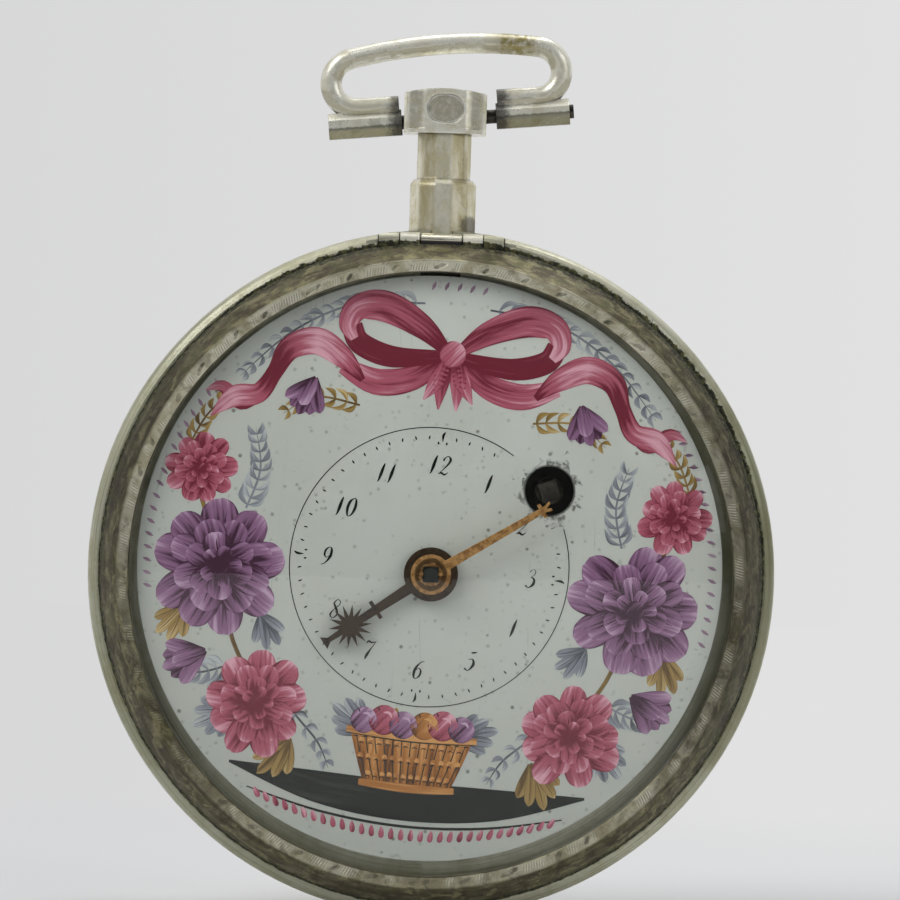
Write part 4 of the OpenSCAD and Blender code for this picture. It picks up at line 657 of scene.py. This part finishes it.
def polar(radius, degrees):
    """A point at an angle clockwise from twelve."""
    a = math.radians(degrees)
    return radius * math.sin(a), radius * math.cos(a)


def curve(points, steps):
    """Samples of a smooth line through points of any number of parts."""
    out = []
    last = len(points) - 1
    for i in range(last):
        a, b = points[max(i - 1, 0)], points[i]
        c, d = points[i + 1], points[min(i + 2, last)]
        for k in range(steps):
            t = k / steps
            out.append(tuple(
                0.5 * (2 * q + (r - p) * t + (2 * p - 5 * q + 4 * r - s) * t * t
                       + (3 * q - p - 3 * r + s) * t ** 3)
                for p, q, r, s in zip(a, b, c, d)
            ))
    out.append(tuple(points[-1]))
    return out


class Paint:
    """All brush strokes of one colour: thin closed sheets that follow the dial's dome."""

    def __init__(self, name, dark, mid, light):
        self.name = name
        self.material = paint(name, dark, mid, light)
        self.points, self.faces, self.brush, self.tones, self.edges = [], [], [], [], []

    def patch(self, rows, level=0, tone=(0.0, 0.0)):
        """A sheet through rows of points along the stroke, whose tone runs through the given ones."""
        base, wide, seed = len(self.points), len(rows[0]), rng.random()
        count, last = len(rows) * wide, len(rows) - 1
        for lift in (LIFT + level * LEVEL_STEP, -SUNK):
            along = 0.0
            for i, row in enumerate(rows):
                middle = row[wide // 2]
                if i:
                    along += math.dist(middle, rows[i - 1][wide // 2])
                half = math.dist(row[0], row[-1]) / 2
                f = i / last * (len(tone) - 1)
                k = min(int(f), len(tone) - 2)
                shade = tone[k] + (tone[k + 1] - tone[k]) * (f - k)
                for j, (x, y) in enumerate(row):
                    s = 2 * j / (wide - 1) - 1
                    self.points.append(on_dial(x, y, lift))
                    self.brush += (along, s * half, seed)
                    self.tones.append(shade)
                    self.edges.append(abs(s))
        for i in range(last):
            for j in range(wide - 1):
                a = base + i * wide + j
                b, c, d = a + 1, a + wide + 1, a + wide
                self.faces.append((a, d, c, b))
                self.faces.append((a + count, b + count, c + count, d + count))
        rim = list(range(wide)) + [i * wide + wide - 1 for i in range(1, last + 1)]
        rim += [last * wide + j for j in range(wide - 2, -1, -1)]
        rim += [i * wide for i in range(last - 1, 0, -1)]
        for a, b in zip(rim, rim[1:] + rim[:1]):
            self.faces.append((base + a, base + b, base + b + count, base + a + count))

    def build(self):
        mesh = bpy.data.meshes.new("dial_" + self.name)
        mesh.from_pydata(self.points, [], self.faces)
        mesh.attributes.new("brush", "FLOAT_VECTOR", "POINT").data.foreach_set("vector", self.brush)
        mesh.attributes.new("tone", "FLOAT", "POINT").data.foreach_set("value", self.tones)
        mesh.attributes.new("edge", "FLOAT", "POINT").data.foreach_set("value", self.edges)
        mesh.materials.append(self.material)
        obj = add_object("dial_" + self.name, mesh)
        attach(obj, "movement")


def form(points, widths, steps):
    """A strip along a line. Returns a function of the share along and the place across, -1 to 1."""
    path = curve([(*p, w) for p, w in zip(points, widths)], steps)
    last = len(path) - 1

    def at(t, s):
        f = min(max(t, 0.0), 1.0) * last
        i = min(int(f), last - 1)
        f -= i
        x, y, w = (a + (b - a) * f for a, b in zip(path[i], path[i + 1]))
        before, after = path[max(i - 1, 0)], path[min(i + 2, last)]
        dx, dy = after[0] - before[0], after[1] - before[1]
        size = math.hypot(dx, dy) or 1.0
        half = max(w, MIN_WIDTH) / 2
        return x - dy / size * half * s, y + dx / size * half * s

    return at


def blade(colour, points, widths, level=0, tone=0.0, wide=2, steps=6):
    """One stroke along a line, with a width at each of its points."""
    at = form(points, widths, steps)
    count = (len(points) - 1) * steps
    rows = [[at(i / count, 2 * j / wide - 1) for j in range(wide + 1)] for i in range(count + 1)]
    colour.patch(rows, level, tone if isinstance(tone, tuple) else (tone, tone))
    return at


PURPLE = Paint("purple", tint(67, 42, 58), tint(136, 99, 131), tint(189, 159, 184))
CRIMSON = Paint("crimson", tint(112, 40, 54), tint(169, 88, 106), tint(216, 163, 177))
BLACK = Paint("black", tint(26, 29, 25), tint(32, 35, 30), tint(60, 62, 56))
ORANGE = Paint("orange", tint(96, 58, 29), tint(165, 108, 52), tint(205, 152, 92))
OCHRE = Paint("ochre", tint(96, 75, 44), tint(154, 127, 75), tint(198, 175, 126))
SLATE = Paint("slate", tint(79, 83, 89), tint(129, 133, 142), tint(179, 184, 186))
FRINGE = Paint("fringe", tint(110, 83, 102), tint(149, 120, 142), tint(175, 154, 168))
INK = Paint("numerals", tint(26, 28, 27), tint(36, 38, 36), tint(54, 56, 54))

# Chapter ring: line, minute marks and numerals
RING_R = 11.1
RING_DX, RING_DY = -0.04, 0.1
MINUTE_R = 10.3
NUMERAL_R = 8.15


def ring_point(radius, degrees):
    x, y = polar(radius, degrees)
    return x + RING_DX, y + RING_DY


for start, stop in ((68, 170), (170, 290), (290, 391)):
    arc = [ring_point(RING_R, start + (stop - start) * k / 16) for k in range(17)]
    blade(INK, arc, [0.075] * 17, 1, 0.2, steps=4)
for minute in range(60):
    angle = minute * 6
    worn = 28 < angle < 76
    if minute % 15 == 0:
        blade(
            INK, [ring_point(MINUTE_R + d, angle + e) for d, e in ((0.5, 0.8), (0.2, 0), (-0.3, 0))],
            [0.05, 0.2, 0.03], 1,
        )
        for side in (-1.9, 1.9):
            blade(
                INK, [ring_point(MINUTE_R - 0.42 + d, angle + side) for d in (0.12, 0, -0.12)],
                [0.03, 0.15, 0.03], 1, steps=3,
            )
    elif not worn:
        lean = rng.uniform(-0.5, 0.5)
        blade(
            INK, [ring_point(MINUTE_R + d, angle + lean * d * 4) for d in (0.16, 0, -0.16)],
            [0.04, 0.12, 0.04], 1, 0.4, steps=3,
        )

# Each stroke is a list of x, y and width, in heights of the numeral
DIGITS = {
    "0": [
        [(0.30, 1.0, 0.03), (0.13, 0.8, 0.12), (0.08, 0.45, 0.15), (0.16, 0.1, 0.09), (0.26, 0.0, 0.03)],
        [(0.30, 1.0, 0.03), (0.42, 0.88, 0.1), (0.47, 0.5, 0.15), (0.40, 0.15, 0.1), (0.26, 0.0, 0.03)],
    ],
    "1": [[(0.25, 1.0, 0.05), (0.22, 0.75, 0.14), (0.2, 0.4, 0.16), (0.17, 0.1, 0.08), (0.12, 0.0, 0.03)]],
    "2": [
        [(0.10, 0.74, 0.1), (0.16, 0.92, 0.05), (0.30, 1.0, 0.05), (0.46, 0.82, 0.13), (0.36, 0.5, 0.08),
         (0.12, 0.15, 0.03), (0.04, 0.03, 0.03)],
        [(0.04, 0.04, 0.03), (0.18, 0.1, 0.1), (0.36, 0.02, 0.09), (0.52, 0.16, 0.02)],
    ],
    "3": [
        [(0.10, 0.82, 0.1), (0.22, 0.97, 0.04), (0.38, 0.9, 0.09), (0.38, 0.7, 0.08), (0.22, 0.56, 0.03)],
        [(0.22, 0.56, 0.03), (0.42, 0.46, 0.1), (0.45, 0.2, 0.15), (0.26, 0.0, 0.05), (0.06, 0.1, 0.1)],
    ],
    "4": [
        [(0.36, 1.0, 0.03), (0.18, 0.65, 0.03), (0.0, 0.34, 0.03)],
        [(0.0, 0.34, 0.03), (0.2, 0.36, 0.06), (0.5, 0.34, 0.03)],
        [(0.38, 0.96, 0.04), (0.34, 0.6, 0.15), (0.32, 0.25, 0.13), (0.28, 0.0, 0.03)],
    ],
    "5": [
        [(0.16, 0.94, 0.04), (0.3, 0.96, 0.1), (0.46, 1.0, 0.03)],
        [(0.16, 0.94, 0.03), (0.12, 0.58, 0.03)],
        [(0.12, 0.58, 0.03), (0.34, 0.6, 0.07), (0.45, 0.32, 0.15), (0.26, 0.0, 0.05), (0.04, 0.1, 0.1)],
    ],
    "6": [
        [(0.46, 0.96, 0.03), (0.26, 0.84, 0.06), (0.1, 0.5, 0.14), (0.12, 0.14, 0.12), (0.26, 0.0, 0.04),
         (0.42, 0.16, 0.1), (0.42, 0.42, 0.1), (0.28, 0.56, 0.04), (0.12, 0.4, 0.03)],
    ],
    "7": [
        [(0.04, 0.84, 0.03), (0.12, 0.98, 0.1), (0.3, 0.92, 0.08), (0.52, 0.98, 0.03)],
        [(0.52, 0.98, 0.03), (0.36, 0.6, 0.06), (0.24, 0.25, 0.14), (0.2, 0.0, 0.05)],
    ],
    "8": [
        [(0.4, 0.92, 0.05), (0.26, 1.0, 0.04), (0.12, 0.8, 0.08), (0.28, 0.54, 0.13), (0.44, 0.24, 0.09),
         (0.26, 0.0, 0.04), (0.08, 0.18, 0.09), (0.22, 0.48, 0.04), (0.42, 0.74, 0.05), (0.4, 0.92, 0.05)],
    ],
}
DIGITS["9"] = [[(0.52 - x, 1.0 - y, w) for x, y, w in DIGITS["6"][0]]]
NUMERAL_HEIGHT, NUMERAL_SLANT, NUMERAL_STEP = 1.5, 0.2, 0.52
# Strokes that have worn away or thin: numeral, digit and stroke
WORN = {(4, 0, 0), (4, 0, 1), (5, 0, 1)}
FAINT = {(2, 0, 0), (3, 0, 0)}

for hour in range(1, 13):
    text = str(hour)
    centre_x, centre_y = ring_point(NUMERAL_R, hour * 30)
    for place, digit in enumerate(text):
        offset = (place - (len(text) - 1) / 2) * NUMERAL_STEP
        if len(text) == 2 and place == 0:
            offset -= 0.02
        for number, stroke in enumerate(DIGITS[digit]):
            key = (hour, place, number)
            if key in WORN:
                continue
            scale = 0.45 if key in FAINT else 1.0
            points = []
            for x, y, w in stroke:
                px = x - 0.26 + offset + (y - 0.5) * NUMERAL_SLANT
                points.append((centre_x + px * NUMERAL_HEIGHT, centre_y + (y - 0.5) * NUMERAL_HEIGHT))
            widths = [w * NUMERAL_HEIGHT * scale for x, y, w in stroke]
            blade(INK, points, widths, 1, steps=5)


# Motifs: open flowers, tulips, leaf sprays, ribbon and a basket of fruit
def heading(origin, degrees, forward, side=0.0):
    """A point reached from origin by going forward, then to the right."""
    a = math.radians(degrees)
    return (
        origin[0] + forward * math.sin(a) + side * math.cos(a),
        origin[1] + forward * math.cos(a) - side * math.sin(a),
    )


def petal(colour, root, degrees, length, width, level, tone=(-1.3, 0.6), bend=0.0, wide=6, tip=0.3):
    """One petal, dark at its root and light at its tip, that leans over by bend."""
    track = [
        heading(root, degrees, length * t, bend * length * t * t) for t in (0.0, 0.3, 0.62, 0.88, 1.0)
    ]
    widths = [width * w for w in (0.3, 0.78, 1.0, 0.8, tip)]
    return blade(colour, track, widths, level, tone, wide, 5)


# Reach, petals and width of a flower's rings, in sizes of the flower
BLOOM_RINGS = ((1.0, 9, 0.6), (0.74, 8, 0.5), (0.5, 6, 0.4), (0.28, 5, 0.26))


def bloom(colour, centre, size, level):
    """An open flower, ring upon ring of petals round a dark heart."""
    for ring, (reach, count, width) in enumerate(BLOOM_RINGS):
        for k in range(count):
            lean = 360 / count * (k + 0.4 * ring) + rng.uniform(-7, 7)
            long = size * reach * rng.uniform(0.92, 1.06)
            root = heading(centre, lean, 0.06 * size)
            order = level + 3 * ring + k % 3
            petal(
                colour, root, lean, long, size * width * rng.uniform(0.9, 1.1), order,
                (-1.5, 0.75 - 0.12 * ring), rng.uniform(-0.12, 0.12),
            )
            # A dark line down the petal's fold
            track = [heading(root, lean + 3, long * t) for t in (0.3, 0.55, 0.8)]
            blade(colour, track, [0.05, 0.025 * size, 0.02], order + 1, -1.4, steps=4)
    ball(colour, centre, 0.16 * size, level + 14, (-1.6, -0.6))


def ball(colour, centre, radius, level, tone):
    """A round fruit or bead, lit from the upper right."""
    steps = (-1, -0.94, -0.78, -0.5, 0, 0.5, 0.78, 0.94, 1)
    track = [heading(centre, 40, radius * t) for t in steps]
    widths = [2 * radius * math.sqrt(1.0 - t * t) for t in steps]
    blade(colour, track, widths, level, tone, wide=6, steps=3)


# Lean, reach, width, bend and tones of a tulip's petals, from the back to the front
TULIP_PETALS = (
    (-13, 1.0, 0.36, -0.05, (-1.3, -0.3)), (13, 1.0, 0.36, 0.05, (-1.3, -0.2)),
    (0, 1.08, 0.34, 0.0, (-1.2, 0.2)), (-24, 0.94, 0.36, -0.16, (-1.0, 0.6)),
    (24, 0.94, 0.36, 0.16, (-1.0, 0.5)), (3, 0.82, 0.42, 0.0, (-0.9, 0.9)),
)


def tulip(colour, root, degrees, size, level):
    """A flower from the side: petals behind, two that curl outwards and one in front."""
    for order, (lean, reach, width, bend, tone) in enumerate(TULIP_PETALS):
        petal(colour, root, degrees + lean, size * reach, size * width, level + order, tone, bend, tip=0.1)


def leaflets(colour, track, count, reach, width, spread, tone):
    """A stem with slender leaflets on both sides, shorter towards its tip."""
    at = blade(colour, track, [0.16] * (len(track) - 1) + [0.03], 1, -0.5)
    for k in range(count):
        t = 0.06 + 0.94 * k / count
        size = reach * (1.0 - 0.5 * t) * rng.uniform(0.85, 1.1)
        here, ahead = at(t, 0), at(min(t + 0.04, 1.0), 0)
        course = math.degrees(math.atan2(ahead[0] - here[0], ahead[1] - here[1]))
        for side in (-1, 1):
            lean = course + side * spread
            middle = heading(here, lean, size * 0.5, side * size * 0.08)
            tip = heading(here, lean - side * 14, size)
            shade = tone + rng.uniform(-0.4, 0.4)
            widths = [0.06, width * rng.uniform(0.8, 1.2), 0.03]
            blade(colour, [here, middle, tip], widths, 2, (shade - 0.5, shade + 0.5))


def fan(colour, origin, degrees, size, fingers, spread, level=2, tone=0.0):
    """A broad leaf of fingers that spread from one point, each with its vein."""
    for k in range(fingers):
        share = k / (fingers - 1) - 0.5
        lean, reach = degrees + spread * share, size * (1.0 - 0.5 * abs(share))
        at = petal(
            colour, origin, lean, reach, size * 0.24, level + k % 2, (tone - 0.9, tone + 0.6), 0.12, 4, 0.08
        )
        vein = [at(t, 0) for t in (0.15, 0.5, 0.85)]
        blade(colour, vein, [0.04, size * 0.02, 0.02], level + 2, -1.2, steps=4)


def flip(points, side):
    return [(x * side, y) for x, y in points]


# Ledge, basket and fruit at the foot
ledge = [(-14.2, -16.9), (-7.2, -18.15), (0, -18.6), (7.2, -18.15), (14.2, -16.9)]
blade(BLACK, ledge, [0.2, 2.5, 3.1, 2.5, 0.2], 1, wide=8)
line = [(-12.6, -18.75), (-6.5, -20.1), (0, -20.6), (6.5, -20.1), (12.6, -18.75)]
blade(BLACK, line, [0.1, 0.2, 0.22, 0.2, 0.1], 1)
for k in range(31):
    x = -12.0 + 0.8 * k
    y = -21.25 + 0.0145 * x * x
    petal(CRIMSON, (x, y + 0.42), 180 + 2.6 * x, 0.9, 0.44, 2, (0.5, -0.5), wide=2)
sides = [(0, y) for y in (-17.6, -17.0, -15.4, -13.9, -13.5)]
basket = blade(ORANGE, sides, [6.6, 7.2, 8.4, 9.4, 9.6], 3, (-0.6, 0.6), wide=14)
STAVES, STAVE_STEP = 13, 0.153
for k in range(STAVES):
    s = -0.92 + STAVE_STEP * k
    blade(BLACK, [basket(t, s) for t in (0.02, 0.5, 0.98)], [0.07, 0.1, 0.07], 5, 0.2)
for row in range(5):
    t = 0.1 + 0.2 * row
    for k in range(STAVES):
        s = -0.92 + STAVE_STEP * (k + 0.5 * (row % 2))
        if abs(s) < 0.95:
            ends = [basket(t, s - 0.05), basket(t + 0.02, s), basket(t, s + 0.05)]
            blade(ORANGE, ends, [0.1, 0.42, 0.1], 6, (0.2, 1.2))
            blade(BLACK, [(x, y - 0.24) for x, y in ends], [0.03, 0.1, 0.03], 6, 0.0)
for y, wide in ((-13.4, 10.4), (-17.5, 7.6)):
    half = wide / 2
    blade(ORANGE, [(-half, y + 0.1), (0, y - 0.1), (half, y + 0.1)], [0.5, 0.75, 0.5], 8, 0.7, wide=4)
    blade(BLACK, [(-half, y - 0.22), (0, y - 0.46), (half, y - 0.22)], [0.05, 0.12, 0.05], 9, 0.0)
for side in (-1, 1):
    fan(SLATE, (side * 3.4, -13.3), side * 66, 3.6, 5, side * 70)
    fan(OCHRE, (side * 1.0, -12.9), side * 22, 1.7, 3, side * 50, 9)
for x, y, size, colour in (
    (-3.9, -12.5, 1.05, PURPLE), (3.9, -12.5, 1.05, PURPLE), (-2.3, -12.35, 1.2, CRIMSON),
    (2.4, -12.35, 1.2, CRIMSON), (-0.75, -12.6, 1.1, PURPLE), (0.95, -12.5, 1.1, ORANGE),
):
    ball(colour, (x, y), size, 12, (-1.1, 1.0))
    glint = [(x - 0.1, y + 0.5 * size), (x + 0.3 * size, y + 0.5 * size), (x + 0.5 * size, y + 0.2 * size)]
    blade(colour, glint, [0.05, 0.24, 0.05], 13, 1.6)
    stalk = [(x - 0.5 * size, y + 0.86 * size), (x - 0.35 * size, y + 0.6 * size)]
    blade(BLACK, stalk, [0.05, 0.12], 14)

# The right half's motifs, which the left half mirrors. Sprays of leaflets: colour, stem, pairs,
# reach, width, spread and tone
SPRAYS = (
    (SLATE, [(15.2, -9.4), (17.6, -10.2), (19.4, -9.4)], 8, 1.9, 0.46, 48, 0.3),
    (SLATE, [(10.6, -9.4), (9.9, -12.0), (7.4, -14.6), (6.3, -16.6)], 8, 1.6, 0.42, 48, 0.2),
    (SLATE, [(15.0, 3.2), (14.2, 6.4), (14.9, 9.6)], 9, 1.8, 0.42, 48, 0.3),
    (OCHRE, [(19.9, 8.0), (18.9, 10.2), (17.0, 12.6)], 7, 1.4, 0.4, 48, 0.0),
    (SLATE, [(2.6, 20.9), (8.0, 20.3), (12.8, 17.6), (16.6, 13.6)], 17, 1.8, 0.4, 40, 0.4),
    (OCHRE, [(6.9, 12.3), (10.4, 12.6), (12.9, 11.0)], 8, 1.5, 0.4, 48, 0.0),
)
# Broad leaves: colour, place, heading, size, fingers, spread and tone
LEAVES = (
    (OCHRE, 9.6, -14.6, 150, 3.8, 5, 76, 0.0), (SLATE, 14.4, -12.6, 128, 3.5, 5, 80, 0.2),
    (SLATE, 13.0, -5.0, 214, 3.2, 4, 64, 0.0), (OCHRE, 19.0, -4.8, 158, 3.6, 4, 60, 0.0),
)
STEM = [(12.6, -11.0), (14.9, -7.4), (16.2, -3.0), (18.2, 2.6), (19.2, 5.0)]
# Ribbon: the back of each loop, its front, its lower fold, then the streamer with a forked end.
# Each stroke has points, widths, level, tones, strips across and steps between points
RIBBON = (
    ([(8.2, 18.6), (7.4, 17.2), (4.6, 16.4), (0.5, 16.9)], [1.6, 1.8, 1.7, 0.9], 5, (-0.9, -1.3), 8, 6),
    (
        [(0.4, 17.2), (2.6, 19.0), (5.6, 20.3), (7.8, 20.0), (8.5, 18.6), (7.9, 17.5)],
        [0.8, 1.9, 2.5, 2.1, 1.5, 0.7], 8, (-0.8, 0.9), 10, 8,
    ),
    ([(0.4, 16.8), (2.9, 14.9), (5.8, 14.3), (8.6, 15.3)], [0.9, 1.9, 2.1, 1.3], 4, (-1.0, 0.6), 10, 6),
    (
        [
            (6.9, 14.3), (8.6, 15.9), (10.8, 17.0), (12.9, 16.2), (13.9, 14.2), (15.0, 12.4), (16.9, 11.9),
            (18.6, 10.2),
        ],
        [0.5, 1.7, 2.2, 1.9, 1.3, 1.6, 1.7, 0.1], 6, (-1.2, 0.3, 0.9, -0.4, -1.3, 0.2, 0.8, 0.2), 10, 6,
    ),
    (
        [(14.6, 12.6), (16.2, 11.5), (17.9, 12.6), (19.2, 12.2)],
        [0.6, 1.2, 1.0, 0.1], 5, (-1.3, 0.0, 0.5), 8, 6,
    ),
)
for side in (-1, 1):
    for colour, stem, *form_of in SPRAYS:
        leaflets(colour, flip(stem, side), *form_of)
    for colour, x, y, degrees, size, fingers, spread, tone in LEAVES:
        fan(colour, (side * x, y), side * degrees, size, fingers, side * spread, 2, tone)
    blade(OCHRE, flip(STEM, side), [0.34] * 5, 3, -0.6)
    bloom(CRIMSON, (side * 12.5, -12.1), 3.9, 6)
    tulip(PURPLE, (side * 17.0, -8.4), side * 118, 3.4, 5)
    bloom(PURPLE, (side * 16.6, -1.6), 5.0, 6)
    bloom(CRIMSON, (side * 18.9, 6.0), 2.7, 6)
    for points, widths, level, tones, wide, steps in RIBBON:
        blade(CRIMSON, flip(points, side), widths, level, tones, wide, steps)
    for dx, dy in ((0.75, 0.55), (-0.5, -0.75)):
        tail = [(0.3, 16.7), (0.8 + 0.3 * dx, 14.9), (1.2 + dx, 13.0 + 0.5 * dy)]
        blade(CRIMSON, flip(tail, side), [0.7, 1.3, 0.12], 7, (-0.9, 0.4), wide=6)
    tulip(PURPLE, (side * 10.6, 14.1), side * 160, 3.0, 8)
ball(CRIMSON, (0, 17.1), 1.05, 16, (-0.8, 0.9))
# Ticks along the dial's edge, above and at both sides
TICK_R, TICK_DEG = 22.45, 2.62
for k in (*range(-38, -20), *range(-2, 3), *range(21, 39)):
    track = [polar(TICK_R + d, k * TICK_DEG + 1.1 * d) for d in (0.34, 0, -0.34)]
    blade(FRINGE, track, [0.05, 0.28, 0.05], 0, rng.uniform(-0.4, 0.4), steps=3)

for colour in (PURPLE, CRIMSON, BLACK, ORANGE, OCHRE, SLATE, FRINGE, INK):
    colour.build()

# Floor, backdrop and light
LEFT_BACK, RIGHT_BACK = tint(216, 216, 217), tint(225, 225, 225)
FLOOR = tint(229, 229, 230), tint(236, 236, 236)
FLOOR_R, FLOOR_FADE = 0.9, (0.05, 0.16)
SIDE_TO_SIDE = (-0.036, 0.036)
# The dark screen on the camera's side, which shows in reflections alone
SCREEN = tint(66, 66, 64)
LIGHT_LEVEL = 0.42

floor_mesh = bpy.data.meshes.new("floor")
rings = [0.0005, 0.03, 0.08, 0.2, FLOOR_R]
sides = 72
floor_z = cad_box[0].z
floor_points = [
    (r * math.cos(2 * math.pi * k / sides), r * math.sin(2 * math.pi * k / sides), floor_z)
    for r in rings for k in range(sides)
]
floor_faces = [
    (i * sides + k, (i + 1) * sides + k, (i + 1) * sides + (k + 1) % sides, i * sides + (k + 1) % sides)
    for i in range(len(rings) - 1) for k in range(sides)
]
floor_faces.append(tuple(range(sides - 1, -1, -1)))
floor_mesh.from_pydata(floor_points, [], floor_faces)
g = graph("floor")
here = g.add("TexCoord", out=3)
reach = g.add("VectorMath", {0: here}, out=1, operation="LENGTH")
across = g.ramp(g.add("SeparateXYZ", {0: here}), *SIDE_TO_SIDE)
plain = g.add("BsdfDiffuse", {0: g.mix(across, *FLOOR)})
flat = g.add("Emission", {0: g.mix(across, LEFT_BACK, RIGHT_BACK), 1: 1.0})
direct, mirrored, through = g.rays()
seen = g.math("MAXIMUM", direct, g.math("MAXIMUM", mirrored, through))
far = g.times(g.span(reach, *FLOOR_FADE), seen)
g.add("OutputMaterial", {0: g.add("MixShader", {0: far, 1: plain, 2: flat})})
floor_mesh.materials.append(g.owner)
add_object("floor", floor_mesh)

world = bpy.data.worlds.new("world")
bpy.context.scene.world = world
g = Graph(world)
direct, mirrored, through = g.rays()
right, deep, up = g.add("SeparateXYZ", {0: g.add("TexCoord", out=0)}).node.outputs
bright = g.lift(g.times(up, 0.75), right, -0.4)
room = g.mix(g.span(bright, -0.8, 0.85), tint(64, 62, 54), tint(186, 186, 182))
backdrop = g.mix(g.ramp(right, -0.072, 0.072), LEFT_BACK, RIGHT_BACK)
behind = g.span(deep, 0.05, 0.3)
base = g.add("Background", {0: tint(244, 246, 250), 1: LIGHT_LEVEL})
for ray, colour, edge in ((mirrored, room, -0.4), (through, tint(237, 238, 239), -0.7)):
    colour = g.mix(g.span(deep, edge, edge - 0.25), colour, SCREEN)
    shown = g.add("Background", {0: g.mix(behind, colour, backdrop), 1: 1.0})
    base = g.add("MixShader", {0: ray, 1: base, 2: shown})
shown = g.add("Background", {0: backdrop, 1: 1.0})
g.add("OutputWorld", {0: g.add("MixShader", {0: direct, 1: base, 2: shown})})


def soft_light(name, place, size, power):
    """A square lamp that looks at the middle of the dial."""
    data = bpy.data.lights.new(name, "AREA")
    data.size = size
    data.energy = power
    lamp = add_object(name, data)
    lamp.location = place
    lamp.rotation_mode = "QUATERNION"
    lamp.rotation_quaternion = (-lamp.location).to_track_quat("-Z", "Y")


soft_light("key", (-0.44, -0.36, 0.5), 0.42, 2.1)
soft_light("fill", (0.5, -0.4, 0.25), 0.4, 0.7)
soft_light("top", (0.05, 0.12, 0.6), 0.4, 1.1)
